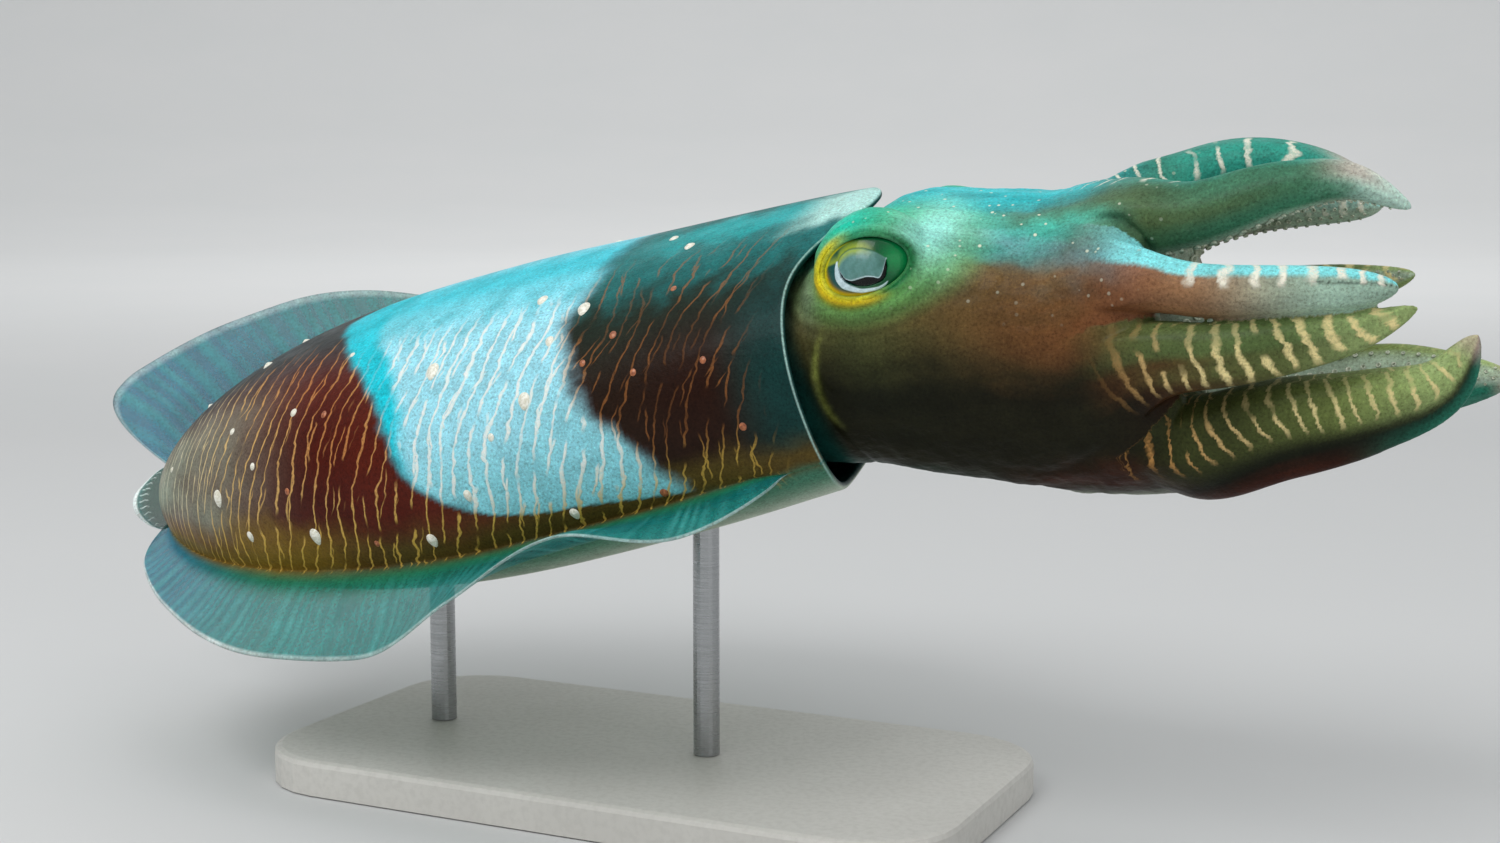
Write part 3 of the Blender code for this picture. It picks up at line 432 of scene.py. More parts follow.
class Arm:
    """One arm: its sector of the crown, its line, and its section along that line."""

    def __init__(
        self, name, side, sector, line, half_width, outer, inner, keel, keel_turn, taper, blunt, twist=0.0
    ):
        self.name, self.side = name, side
        self.low, self.high = (math.radians(a) for a in sector)
        self.half_width, self.outer, self.inner = half_width, outer, inner
        self.keel, self.taper, self.blunt, self.twist = keel, taper, blunt, math.radians(twist)
        self.keel_turn = math.radians(keel_turn if side < 0 else 180 - keel_turn)
        mid = (self.low + self.high) / 2
        self.out = np.array([0.0, side * math.sin(mid), math.cos(mid)])
        root = 0.5 * (MOUTH_RADIUS + crown_radius(mid))
        self.root = np.array([
            CROWN_X + GAP, side * root * math.sin(mid), CROWN_CENTRE_Z + root * math.cos(mid)
        ])
        ahead = self.root + np.array([0.010, 0.0, 0.0])
        points = np.array([self.root, ahead] + [(x, side * y, z) for x, y, z in line])
        chord = np.concatenate([[0], np.cumsum(np.linalg.norm(np.diff(points, axis=0), axis=1))])
        self.length = float(chord[-1])
        self.table = np.column_stack([chord / chord[-1], points])

    def line(self, s):
        """The arm's middle line, straight out of the crown at first."""
        knots, points = self.table[:, 0], self.table[:, 1:]
        return hermite(knots, points, np.gradient(points, knots, axis=0), np.atleast_1d(np.asarray(s, float)))

    def frame(self, s):
        """(middle, along, side, out) at share s of the length."""
        s = np.atleast_1d(np.asarray(s, float))
        small = 2e-3
        middle = self.line(s)
        along = self.line(np.minimum(s + small, 1)) - self.line(np.maximum(s - small, 0))
        along[s <= 1e-9] = (1.0, 0.0, 0.0)
        along = unit(along)
        out = unit(self.out - along * (along @ self.out)[:, None])
        return middle, along, np.cross(along, out), out

    def root_radius(self, turn):
        """How far the root's sector of the crown reaches from the root's middle."""
        _, _, side, out = (v[0] for v in self.frame(0.0))
        reach = np.linspace(0.0, 0.06, 601)
        found = np.zeros(len(turn))
        for k, u in enumerate(turn):
            way = math.cos(u) * side + math.sin(u) * out
            p = self.root + reach[:, None] * way
            y, z = p[:, 1] * self.side, p[:, 2] - CROWN_CENTRE_Z
            radius, angle = np.hypot(y, z), np.arctan2(y, z)
            angle = np.where(angle < -1e-3 - math.pi / 2, angle + 2 * math.pi, angle)
            inside = (
                (radius > MOUTH_RADIUS)
                & (radius < crown_radius(angle))
                & (radius * np.sin(angle - self.low) > 0.7 * GAP)
                & (radius * np.sin(self.high - angle) > 0.7 * GAP)
            )
            found[k] = reach[np.argmin(inside)] if not inside.all() else reach[-1]
        return found

    def roll(self, s):
        """How far the section has rolled about the arm at share s."""
        return -self.side * self.twist * smooth(s / 0.35)

    def free_radius(self, s, turn):
        """The section past the crown: a broad oval, flatter on the sucker side, with any keel."""
        s, turn = np.broadcast_arrays(s, turn)
        turn = turn - self.roll(s)
        end = (1 - np.clip(s, 0, 1) ** self.blunt) ** 0.6
        slim = (1 - self.taper * s) * end * (1 + ARM_FLARE * (1 - smooth(s / 0.5)))
        width = np.maximum(self.half_width * slim, 1e-6)
        height = np.maximum(np.where(np.sin(turn) > 0, self.outer, self.inner) * slim, 1e-6)
        across = np.abs(np.cos(turn) / width) ** ARM_SQUARENESS
        through_it = np.abs(np.sin(turn) / height) ** ARM_SQUARENESS
        away = wrapped(turn - self.keel_turn)
        swell = smooth((s - 0.12) / 0.45) * (1 - s**3) ** 0.8
        radius = (across + through_it) ** (-1 / ARM_SQUARENESS)
        return radius + self.keel * swell * np.exp(-((away / KEEL_HALF_ANGLE) ** 2))

    def surface(self, s, turn):
        """Points of the arm's skin: rows along the arm, columns round it from its left-hand side."""
        s, turn = np.atleast_1d(s), np.atleast_1d(turn)
        middle, _, side, out = self.frame(s)
        share = smooth((s - 0.02) / 0.40)[:, None]
        free = self.free_radius(s[:, None], turn[None, :])
        radius = (1 - share) * self.root_radius(turn)[None, :] + share * free
        way = np.cos(turn)[None, :, None] * side[:, None, :] + np.sin(turn)[None, :, None] * out[:, None, :]
        points = middle[:, None, :] + radius[..., None] * way
        room = (0.05 * smooth((s - SECTOR_HOLD) / 0.35) - 0.6 * GAP)[:, None]
        for edge, inwards in ((self.low, 1), (self.high, -1)):
            normal = inwards * np.array([0.0, self.side * math.cos(edge), -math.sin(edge)])
            inside = (points - np.array([0.0, 0.0, CROWN_CENTRE_Z])) @ normal
            points = points + np.maximum(-room - inside, 0)[..., None] * normal
        points[..., 1] = self.side * np.maximum(self.side * points[..., 1], 0.6 * GAP)
        return points


def all_arms():
    """The eight arms, as the pairs I to IV from the back to the belly, the right one first."""
    arms = []
    for number, (sector, shape, *lines) in enumerate(ARM_PAIRS, 1):
        for side, word, line in zip((-1, 1), ("right", "left"), lines):
            arms.append(Arm(f"arm_{number}_{word}", side, sector, line, **shape))
    return arms


def fin_share(t):
    """How far along a fin's root share t of the mantle's length is."""
    return (t - FIN_START) / (FIN_END - FIN_START)


def fin_point(side, t, v):
    """(middle, upward) of a fin: t along its root as a share of the mantle, v from 0 at the root to 1."""
    root_angle = -side * FIN_ANGLE
    small = 1e-3
    root = mantle_point(t, root_angle)
    before, after = (mantle_point(at, root_angle) for at in (t - small, np.clip(t + small, 0, 0.9999)))
    along = unit(after - before)
    out = unit(np.stack([along[..., 1] * side, -along[..., 0] * side, np.zeros_like(t)], -1))
    share = fin_share(t)
    sweep = (FIN_SWEEP[side] * smooth((share - 0.6) / 0.4))[..., None]
    out = unit(out * np.cos(sweep) + np.array([-1.0, 0.0, 0.0]) * np.sin(sweep))
    lift = np.radians(curve(FIN_LIFT[side], share)) * smooth(0.15 + v * 1.1)
    reach = (fin_width(side, share) * v)[..., None]
    up = np.array([0.0, 0.0, 1.0])
    middle = root + reach * (out * np.cos(lift)[..., None] + up * np.sin(lift)[..., None])
    above = up * np.cos(lift)[..., None] - out * np.sin(lift)[..., None]
    return middle, above


def fin_width(side, share):
    """The fin's width along its root, narrow at both ends."""
    front = 1 - (1 - np.clip(share / 0.30, 0, 1)) ** 2.4
    rear = curve(FIN_REAR[side], share)
    rounding = FIN_END_ROUNDING[side]
    rear = rear * (1 - 0.9 * np.clip((share - 1 + rounding) / rounding, 0, 1) ** 3)
    return FIN_WIDTH * FIN_STRETCH[side] * (0.04 + 0.96 * front) * rear


def turns(sides):
    """Angles round a section."""
    return np.arange(sides) * 2 * math.pi / sides


# The skin's shape

def step(low, high, value):
    """Rises smoothly from 0 at low to 1 at high (falls if high is below low)."""
    return smooth((np.asarray(value, float) - low) / (high - low))


def near(value, middle, spread):
    """A soft bump of height 1 round the middle."""
    return np.exp(-(((np.asarray(value, float) - middle) / spread) ** 2))


def mesh_of(name, points, quads, triangles=()):
    """A smooth-shaded mesh from arrays of points and faces."""
    quads = np.asarray(quads, np.int32).reshape(-1, 4)
    triangles = np.asarray(triangles, np.int32).reshape(-1, 3)
    made = bpy.data.meshes.new(name)
    made.vertices.add(len(points))
    made.vertices.foreach_set("co", np.asarray(points, np.float32).ravel())
    made.loops.add(quads.size + triangles.size)
    made.loops.foreach_set("vertex_index", np.concatenate([quads.ravel(), triangles.ravel()]))
    starts = np.concatenate([np.arange(len(quads)) * 4, quads.size + np.arange(len(triangles)) * 3])
    made.polygons.add(len(starts))
    made.polygons.foreach_set("loop_start", starts.astype(np.int32))
    made.update(calc_edges=True)
    made.validate()
    made.shade_smooth()
    return made


def ring_faces(count, sides):
    """Quads between rows of a closed grid, whose columns run round it."""
    i, j = np.meshgrid(np.arange(count - 1), np.arange(sides), indexing="ij")
    k = (j + 1) % sides
    corners = [i * sides + j, i * sides + k, (i + 1) * sides + k, (i + 1) * sides + j]
    return np.stack(corners, -1).reshape(-1, 4)


def fan(centre, first, sides, flip=False):
    """Triangles from a point to one row of a closed grid."""
    j = np.arange(sides)
    k = (j + 1) % sides
    faces = np.stack([np.full(sides, centre), first + k, first + j], -1)
    return faces[:, ::-1] if flip else faces


def tube(rows, first=None, last=None):
    """(points, quads, triangles) of a closed body through rows of points."""
    rows = np.asarray(rows)
    count, sides = rows.shape[:2]
    first = rows[0].mean(0) if first is None else first
    last = rows[-1].mean(0) if last is None else last
    total = count * sides
    points = np.concatenate([rows.reshape(-1, 3), [first, last]])
    ends = np.concatenate([fan(total, 0, sides), fan(total + 1, total - sides, sides, True)])
    return points, ring_faces(count, sides), ends


def ball(centre, radius, way, rows, sides):
    """(points, quads, triangles) of a ball with its poles on the given axis."""
    side = unit(np.cross(way, (1.0, 0, 0)))
    other = np.cross(way, side)
    around = turns(sides)[:, None]
    rings = []
    for polar in np.linspace(0, math.pi, rows + 2)[1:-1]:
        flat = math.sin(polar) * (np.cos(around) * side + np.sin(around) * other)
        rings.append(centre + radius * (flat - math.cos(polar) * way))
    return tube(rings, centre - radius * way, centre + radius * way)


def joined(parts):
    """One set of arrays from several (points, quads, triangles)."""
    points, quads, triangles, offset = [], [], [], 0
    for p, q, t in parts:
        points.append(p)
        quads.append(np.asarray(q).reshape(-1, 4) + offset)
        triangles.append(np.asarray(t).reshape(-1, 3) + offset)
        offset += len(p)
    return np.concatenate(points), np.concatenate(quads), np.concatenate(triangles)


def closed(name, body):
    """A closed mesh with its faces pointing out, from (points, quads, triangles)."""
    made = mesh_of(name, *body)
    sketch = bmesh.new()
    sketch.from_mesh(made)
    bmesh.ops.recalc_face_normals(sketch, faces=sketch.faces)
    sketch.to_mesh(made)
    sketch.free()
    return made


def linked(name, data):
    """A new object in the scene."""
    thing = bpy.data.objects.new(name, data)
    bpy.context.scene.collection.objects.link(thing)
    return thing


def evaluated(made, kind, **settings):
    """The mesh with one modifier applied."""
    thing = linked("work", made)
    modifier = thing.modifiers.new("work", kind)
    for key, value in settings.items():
        setattr(modifier, key, value)
    bpy.context.view_layer.update()
    done = bpy.data.meshes.new_from_object(thing.evaluated_get(bpy.context.evaluated_depsgraph_get()))
    bpy.data.objects.remove(thing)
    return done


def combined(body, others, operation):
    """A mesh with other closed meshes added to it or taken away from it."""
    for other in others:
        tool = linked("tool", other)
        body = evaluated(body, "BOOLEAN", operation=operation, object=tool, solver="MANIFOLD")
        bpy.data.objects.remove(tool)
    return body


def array_of(items, key, width, kind):
    """Rows of one property of a mesh's points, edges or faces."""
    found = np.empty(len(items) * width, kind)
    items.foreach_get(key, found)
    return found.reshape(-1, width)


def relaxed(points, edges, rounds, share=0.5, weight=None, regain=0.53):
    """Points eased towards their neighbours' mean, and out again to keep the volume."""
    count = np.bincount(edges.ravel(), minlength=len(points))[:, None]
    points = points.copy()
    for number in range(2 * rounds):
        total = np.stack([
            np.bincount(edges[:, 0], points[edges[:, 1], k], len(points))
            + np.bincount(edges[:, 1], points[edges[:, 0], k], len(points))
            for k in range(3)
        ], -1)
        move = (total / np.maximum(count, 1) - points) * (share if number % 2 == 0 else -regain)
        points += move if weight is None else move * weight[:, None]
    return points


def mantle_grid():
    """The mantle and both fins as one closed grid, with what each point is on.

    The columns run from the back's midline over the right side, round the right fin, under the belly
    and over the left fin back to the start.
    """
    share = np.linspace(0, 1, MANTLE_ROWS)
    t = np.sin(0.5 * math.pi * share) * (1 - 1e-5)
    columns = {"point": [], "angle": [], "v": [], "side": []}

    def add(points, angle, v, side):
        columns["point"].append(points)
        columns["angle"].append(np.broadcast_to(np.degrees(angle), t.shape))
        columns["v"].append(np.full(len(t), v))
        columns["side"].append(np.full(len(t), side))

    def fin(side):
        along = fin_share(t)
        shown = step(FIN_START - 0.012, FIN_START + 0.01, t) * step(0.998, FIN_END - 0.004, t)
        width = fin_width(side, along) * shown
        root_half = 0.5 * np.minimum(FIN_ROOT_THICKNESS, 0.0012 + 0.4 * width) * step(0.0, 0.3, shown)
        at_root = mantle_point(t, -side * FIN_ANGLE)
        spread = root_half / np.maximum(np.linalg.norm(at_root[:, 1:], axis=1), 0.006)
        return along, shown, root_half, spread

    def fin_sheet(side, way, order):
        along, shown, root_half, _ = fin(side)
        for v in order:
            middle, above = fin_point(side, t, np.full_like(t, v))
            base, _ = fin_point(side, t, np.zeros_like(t))
            bend = FIN_EDGE_BEND * v**2 * np.sin(side + FIN_EDGE_TURN * along)
            middle = base + (middle - base) * shown[:, None] + (bend * shown)[:, None] * above
            half = root_half + (0.5 * FIN_EDGE_THICKNESS - root_half) * (1 - (1 - v) ** 1.6)
            half = half * math.sqrt(max(1 - (max(v - 0.97, 0) / 0.03) ** 2, 0)) * shown
            add(middle + way * half[:, None] * above, -side * FIN_ANGLE, v, side)

    def panel(side, below, shares):
        edge = FIN_ANGLE + (spread[side] if below else -spread[side])
        for u in shares:
            angle = -side * (edge + u * (math.pi - edge) if below else u * edge)
            add(mantle_point(t, angle), angle, 0.0, 0)

    upper = np.linspace(0, 1, UPPER_COLUMNS)
    lower = np.linspace(0, 1, LOWER_COLUMNS)
    across = np.linspace(0, 1, FIN_COLUMNS + 1)[1:]
    spread = {side: fin(side)[3] for side in (-1, 1)}
    panel(-1, False, upper)
    fin_sheet(-1, 1, across)
    fin_sheet(-1, -1, across[-2::-1])
    panel(-1, True, lower)
    panel(1, True, lower[-2::-1])
    fin_sheet(1, -1, across)
    fin_sheet(1, 1, across[-2::-1])
    panel(1, False, upper[:0:-1])
    grid = {key: np.stack(value, 1) for key, value in columns.items()}
    fillet = np.zeros(grid["v"].shape[1])
    for k in np.flatnonzero(np.diff(grid["side"][0] != 0)):
        fillet += near(np.arange(len(fillet)), k + 0.5, FILLET_COLUMNS)
    fillet = 0.5 * np.clip(fillet, 0, 1)[None, :, None]
    for _ in range(FILLET_ROUNDS):
        p = grid["point"]
        grid["point"] = p + fillet * (0.5 * (np.roll(p, 1, 1) + np.roll(p, -1, 1)) - p)
    return t, grid


def mantle_skin():
    """(points, quads, triangles) of the mantle with its rolled edge and its fins, and what each is on."""
    t, grid = mantle_grid()
    angle = np.radians(grid["angle"][0])
    rim = []
    for roll in np.linspace(0, math.pi, COLLAR_ROWS + 1)[:-1]:
        inset = 0.5 * COLLAR_WALL * (1 + math.cos(roll))
        row = mantle_point(0.0, angle, inset)
        row[:, 0] += 0.5 * COLLAR_WALL * math.sin(roll)
        rim.append(row)
    floor = mantle_point(0.0, angle, COLLAR_WALL + 0.0004)
    floor[:, 0] = np.minimum(floor[:, 0], 0) - COLLAR_DEPTH
    inner = [floor + (rim[0] - floor) * u for u in np.linspace(0, 1, COLLAR_ROWS + 1)[:-1]]
    extra = np.array(inner + rim)
    rows = np.concatenate([extra, grid["point"]])
    points, quads, ends = tube(rows, np.array([-COLLAR_DEPTH, 0, 0]), mantle_point(1.0, 0.0))

    def extended(values, fill=None):
        front = np.broadcast_to(values[0] if fill is None else fill, extra.shape[:2])
        return np.concatenate([front.ravel(), values.ravel(), [values[0, 0], values[-1, 0]]])

    facts = dict(
        t=extended(np.broadcast_to(t[:, None], grid["v"].shape), 0.0),
        angle=extended(grid["angle"]),
        v=extended(grid["v"]),
        side=extended(grid["side"]),
        inside=np.concatenate([
            np.repeat(np.linspace(1, 0, len(extra)), extra.shape[1]), np.zeros(grid["v"].size), [1, 0],
        ]),
    )
    return points, quads, ends, facts


def tail_film():
    """(points, quads, triangles, u, v) of the thin end of the right fin, curled up round the tail."""
    u = np.linspace(0, 1, FILM_ROWS)
    across = np.linspace(0, 1, FILM_COLUMNS)
    angle = np.radians(FILM_FROM + (FILM_TO - FILM_FROM) * u)
    base = mantle_point(FILM_T, angle, 0.0006)
    way = unit(0.55 * mantle_normal(FILM_T, angle) + [-1.0, 0.0, 0.0])
    face = unit(np.cross(way, np.gradient(base, axis=0)))
    width = FILM_WIDTH * np.sin(math.pi * (0.10 + 0.90 * u)) ** 0.6
    rows, v = [], np.concatenate([across, across[::-1]])
    for k, share in enumerate(v):
        half = FILM_HALF_THICKNESS * (1 if k < len(across) else -1) * math.sqrt(1.0001 - share**6)
        bend = 0.0012 * share**2 * np.sin(9 * u + 1)
        rows.append(base + (share * width)[:, None] * way + (half + bend)[:, None] * face)
    rows = np.stack(rows, 1)
    points, quads, ends = tube(rows)
    u = np.concatenate([np.repeat(u, len(v)), [0.0, 1.0]])
    v = np.concatenate([np.tile(v, len(rows)), [0.5, 0.5]])
    return points, quads, ends, u, v


def arm_tube(arm):
    """(points, quads, triangles) of an arm that starts a little inside the head."""
    to_tip = np.sin(0.5 * math.pi * np.linspace(0, 1, ARM_TIP_ROWS + 1)[1:])
    s = np.concatenate([np.linspace(0, 0.9, ARM_ROWS), 0.9 + 0.098 * to_tip])
    rows = arm.surface(s, turns(ARM_COLUMNS))
    buried = rows[:1].copy()
    buried[..., 0] -= ARM_BURIED
    buried[..., 1:] = arm.root[1:] + 0.97 * (buried[..., 1:] - arm.root[1:])
    return tube(np.concatenate([buried, rows]), last=arm.line(1.0)[0])


def head_tube():
    """(points, quads, triangles) of the head without its lids."""
    x = np.linspace(HEAD_STATIONS[0][0], CROWN_X, HEAD_ROWS)
    return tube([head_point(at, turns(HEAD_COLUMNS)) for at in x])


def crown_rings(profile, sides, width=1.0, ruffle=0.0):
    """Rows of ovals round the crown's axis, from rows of (ahead of the crown, radius, drop)."""
    around = turns(sides)
    rings = []
    for ahead, radius, drop in profile:
        y, z = oval(around, width * radius, radius, radius)
        x = CROWN_X + GAP + ahead + ruffle * np.cos(15 * around) * (ahead > 0.004)
        rings.append(np.stack([x, y, z + CROWN_CENTRE_Z + drop], -1))
    return rings


def funnel_tube():
    """(points, quads, triangles) of the funnel, open at its front."""
    rings = []
    for x, radius, z_middle in FUNNEL_STATIONS:
        y, z = oval(turns(FUNNEL_COLUMNS), radius * 1.1, radius * 0.9, radius * 0.9)
        rings.append(neck_twist(np.stack([np.full_like(y, x), y, z + z_middle], -1)))
    return tube(rings)


def mouth_tube():
    """(points, quads, triangles) of the lips inside the ring of arms."""
    return tube(crown_rings(LIPS_PROFILE, MOUTH_COLUMNS, ruffle=LIPS_RUFFLE))


def crown_web():
    """(points, quads, triangles) of the web of skin round the arms' roots: a ring ahead of the head."""
    around = turns(HEAD_COLUMNS)
    rings = []
    below = step(115, 140, np.degrees(np.abs(wrapped(around))))
    for ahead, reach, belly_reach in WEB_PROFILE:
        ring = head_point(min(CROWN_X, CROWN_X + ahead), around)
        share = reach + (belly_reach - reach) * below
        ring[:, 1] *= share
        ring[:, 2] = CROWN_CENTRE_Z + share * (ring[:, 2] - CROWN_CENTRE_Z)
        ring[:, 0] = CROWN_X + ahead
        rings.append(ring)
    rows = np.array(rings + rings[:1])
    points = np.array(rings).reshape(-1, 3)
    return points, ring_faces(len(rows), HEAD_COLUMNS) % len(points), []


def eye_axes(side):
    """(outwards, forwards, up) of an eye."""
    way = eye_direction(side)
    forward = unit(np.array([1.0, 0, 0]) - way * way[0])
    up = np.cross(way, forward)
    return way, forward, up * np.sign(up[2])


def eye_plane(point, side):
    """(forwards, up, outwards) of points from an eye's middle, in millimetres."""
    offset = point - eye_centre(side)
    way, forward, up = eye_axes(side)
    return 1000 * offset @ forward, 1000 * offset @ up, 1000 * offset @ way


def opening_polar(forward, up):
    """How far points are from the middle of the eye's opening, 1 at its edge, and in which direction."""
    forward, up = forward / OPENING_MM[0], up / OPENING_MM[1]
    return np.hypot(forward, up), np.arctan2(up, forward)


def opening_ring(side, around):
    """Places on the edge of an eye's opening, from the eye's middle, at angles round it."""
    _, forward, up = eye_axes(side)
    around = around[:, None]
    return LID_OPENING[0] * np.cos(around) * forward + LID_OPENING[1] * np.sin(around) * up


def opening_tube(side):
    """(points, quads, triangles) of the space between the lids."""
    way, ring = eye_direction(side), opening_ring(side, turns(LID_COLUMNS))
    return tube([eye_centre(side) + depth * EYE_RADIUS * way + ring for depth in (0.35, 1.6)])


def head_and_arms(arms):
    """One mesh of the head, arms, funnel and lips, in the head's frame."""
    lids, holes = [], []
    for side in (-1, 1):
        place = (eye_direction(side), LID_ROWS, LID_COLUMNS)
        lids.append(closed("lid", ball(eye_centre(side), EYE_RADIUS + GAP + LID_THICKNESS, *place)))
        holes.append(closed("socket", ball(eye_centre(side), EYE_RADIUS + GAP, *place)))
        holes.append(closed("opening", opening_tube(side)))
    body = combined(closed("head", head_tube()), lids, "UNION")
    body = combined(body, holes, "DIFFERENCE")
    parts = [arm_tube(arm) for arm in arms] + [funnel_tube(), mouth_tube(), crown_web()]
    rest = closed("rest", joined(parts))
    sketch = bmesh.new()
    sketch.from_mesh(body)
    sketch.from_mesh(rest)
    whole = bpy.data.meshes.new("whole")
    sketch.to_mesh(whole)
    sketch.free()
    done = evaluated(whole, "REMESH", mode="VOXEL", voxel_size=VOXEL, use_smooth_shade=True)
    edges = array_of(done.edges, "vertices", 2, np.int32)
    faces = array_of(done.polygons, "vertices", 4, np.int32)
    points = relaxed(array_of(done.vertices, "co", 3, np.float32).astype(float), edges, HEAD_ROUNDS)
    eased = near(points[:, 0], CROWN_X + 0.006, 0.014)
    by_lids = np.zeros(len(points))
    for side in (-1, 1):
        a, b, out = eye_plane(points, side)
        by_lids = np.maximum(by_lids, near(opening_polar(a, b)[0], 1.0, 0.17) * (out > 0))
    points = relaxed(points, edges, BLEND_ROUNDS, 0.5, np.maximum(eased, by_lids))
    points = relaxed(points, edges, LID_ROUNDS, 0.5, by_lids, 0.0)
    points = head_relief(points, faces)
    rims, rim_faces = lid_rims(points)
    return np.concatenate([points, rims]), np.concatenate([faces, rim_faces + len(points)])


def normals_of(points, faces):
    """Outward normals at a mesh's points."""
    a, b, c, d = (points[faces[:, k]] for k in range(4))
    flat = np.cross(c - a, d - b)
    total = np.stack([
        sum(np.bincount(faces[:, k], flat[:, axis], len(points)) for k in range(4)) for axis in range(3)
    ], -1)
    return total / np.maximum(np.linalg.norm(total, axis=1, keepdims=True), 1e-12)


def head_relief(points, faces):
    """The folds of the lids, wrinkles behind them, furrows behind the arms and a soft unevenness."""
    x, y, z = points.T
    height = np.zeros(len(points))
    head = step(CROWN_X + 0.035, CROWN_X, x)
    for side in (-1, 1):
        a, b, out = eye_plane(points, side)
        here = (out > 0) * (np.abs(y) > 0.02)
        reach, bearing = opening_polar(a, b)
        behind = step(0.2, 0.9, -np.cos(bearing - 0.3))
        height += here * (
            0.45 * near(reach, 1.16, 0.07)
            - 0.50 * near(reach, 1.34, 0.07) * (0.35 + 0.65 * behind)
            + 0.30 * near(reach, 1.50, 0.10)
            - 0.40 * near(reach, 1.78, 0.09) * step(0.3, -0.6, np.sin(bearing))
            - 0.35 * near(reach, 2.15, 0.10) * step(-0.2, -0.9, np.sin(bearing + 0.4))
            + 0.10 * np.sin(17 * bearing + 2 * np.sin(9 * reach)) * near(reach, 1.45, 0.28) * behind
        )
    angle = np.degrees(np.arctan2(np.abs(y), z - CROWN_CENTRE_Z))
    behind_arms = step(CROWN_X - 0.034, CROWN_X, x) * step(CROWN_X + 0.02, CROWN_X, x)
    for (_, seam), *_ in ARM_PAIRS[:-1]:
        bend = seam + 7 * np.sin(90 * x + seam)
        height -= 0.9 * near(angle, bend, 3.2) * behind_arms
    mm_x, mm_turn = 1000 * x, angle * 0.75
    height += 0.30 * wander(mm_x, mm_turn, 0.16, 41) * head
    height += 0.10 * wander(mm_x * 0.45, mm_turn, 0.8, 42) * head
    height -= 0.35 * near(x, 0.004 + 0.0012 * np.sin(0.12 * angle), 0.0011) * step(30, 60, angle)
    height *= np.linalg.norm(points[:, 1:] - [0.0, CROWN_CENTRE_Z], axis=1) > 0.02
    return points + 0.001 * height[:, None] * normals_of(points, faces)


def lid_rims(points):
    """(points, quads) of a thin rolled rim along each edge between the lids and the eyeball."""
    parts = []
    around, round_it = turns(LID_RIM_ROWS), turns(LID_RIM_SIDES)[:, None, None]
    for side in (-1, 1):
        way, forward, up = eye_axes(side)
        a, b, out = eye_plane(points, side)
        reach, bearing = opening_polar(a, b)
        far = np.linalg.norm(points - eye_centre(side), axis=1) > EYE_RADIUS + GAP + 0.5 * LID_THICKNESS
        lid = (np.abs(reach - 1.09) < 0.04) & (out > 0) & far
        # the lid's height round the opening, as a few waves fitted on the skin beside it
        there, here = (
            np.stack([wave(k * turn) for k in range(5) for wave in (np.cos, np.sin)], -1)
            for turn in (bearing[lid], around)
        )
        height = 0.001 * here @ np.linalg.lstsq(there, out[lid], rcond=None)[0] + LID_RIM_LIFT
        middle = eye_centre(side) + height[:, None] * way + opening_ring(side, around)
        outer = unit(
            np.cos(around)[:, None] / LID_OPENING[0] * forward + np.sin(around)[:, None] / LID_OPENING[1] * up
        )
        rows = middle + LID_RIM_RADIUS * (np.cos(round_it) * outer + np.sin(round_it) * way)
        ring = rows.reshape(-1, 3)
        parts.append((ring, ring_faces(LID_RIM_SIDES + 1, LID_RIM_ROWS) % len(ring), []))
    ring, quads, _ = joined(parts)
    return ring, quads


def arm_places(points, arms):
    """For each point of the head's mesh: the number of the arm that it is on, or -1, how far along the
    arm it is, and the cosine and sine of its turn round it."""
    tree_points, facts = [], []
    s = np.linspace(0, 0.998, 90)
    around = turns(36)
    for number, arm in enumerate(arms):
        rows = arm.surface(s, around)
        tree_points.append(rows.reshape(-1, 3))
        turn = around[None, :] - arm.roll(s)[:, None]
        facts.append(np.stack([
            np.full(turn.shape, number), np.broadcast_to(s[:, None], turn.shape), np.cos(turn), np.sin(turn)
        ], -1).reshape(-1, 4))
    tree_points, facts = np.concatenate(tree_points), np.concatenate(facts)
    tree = KDTree(len(tree_points))
    for k, point in enumerate(tree_points):
        tree.insert(point, k)
    tree.balance()
    ahead = np.flatnonzero(points[:, 0] > CROWN_X - 0.001)
    found = np.zeros((len(points), 4))
    found[:, 0] = -1
    for k in ahead:
        near_by = tree.find_n(points[k], 4)
        first = facts[near_by[0][1]]
        rows = [(facts[i], 1 / (d + 1e-4)) for _, i, d in near_by if facts[i][0] == first[0]]
        total = sum(w for _, w in rows)
        found[k, 0] = first[0]
        found[k, 1:] = sum(row[1:] * w for row, w in rows) / total
    return found


def rgb(red, green, blue):
    """A colour given on the 0 to 255 display scale, as linear light."""
    v = np.array([red, green, blue]) / 255.0
    return np.where(v <= 0.04045, v / 12.92, ((v + 0.055) / 1.055) ** 2.4)


# The palette
# the slate tone here is a painted sheen: grey-blue reflected light laid over the rear of the mantle
RUST, RUST_DEEP, SLATE_SHEEN = rgb(94, 32, 19), rgb(62, 16, 9), rgb(150, 162, 144)
SLATE_DARK, OLIVE_GOLD, OLIVE = rgb(38, 60, 62), rgb(136, 108, 36), rgb(92, 76, 34)
UMBER, UMBER_GREEN, UMBER_DEEP = rgb(38, 25, 16), rgb(24, 45, 34), rgb(42, 18, 9)
DARK_TEAL, CYAN, CYAN_BRIGHT = rgb(14, 62, 60), rgb(24, 176, 178), rgb(24, 204, 222)
# the pale cyan here is pale skin that also stands for a painted highlight at the mantle's front edge
PALE_CYAN_AND_HIGHLIGHT, SADDLE_WHITE, SADDLE_BLUE = rgb(196, 240, 232), rgb(160, 226, 242), rgb(112, 214, 230)
SADDLE_LOW, BELLY_EDGE, BELLY = rgb(142, 218, 230), rgb(70, 128, 104), rgb(186, 200, 180)
LINE_CREAM, LINE_RUST, LINE_SLATE = rgb(234, 192, 116), rgb(184, 98, 48), rgb(228, 224, 190)
LINE_GOLD, LINE_BROWN, LINE_WHITE = rgb(228, 188, 88), rgb(190, 138, 76), rgb(250, 252, 244)
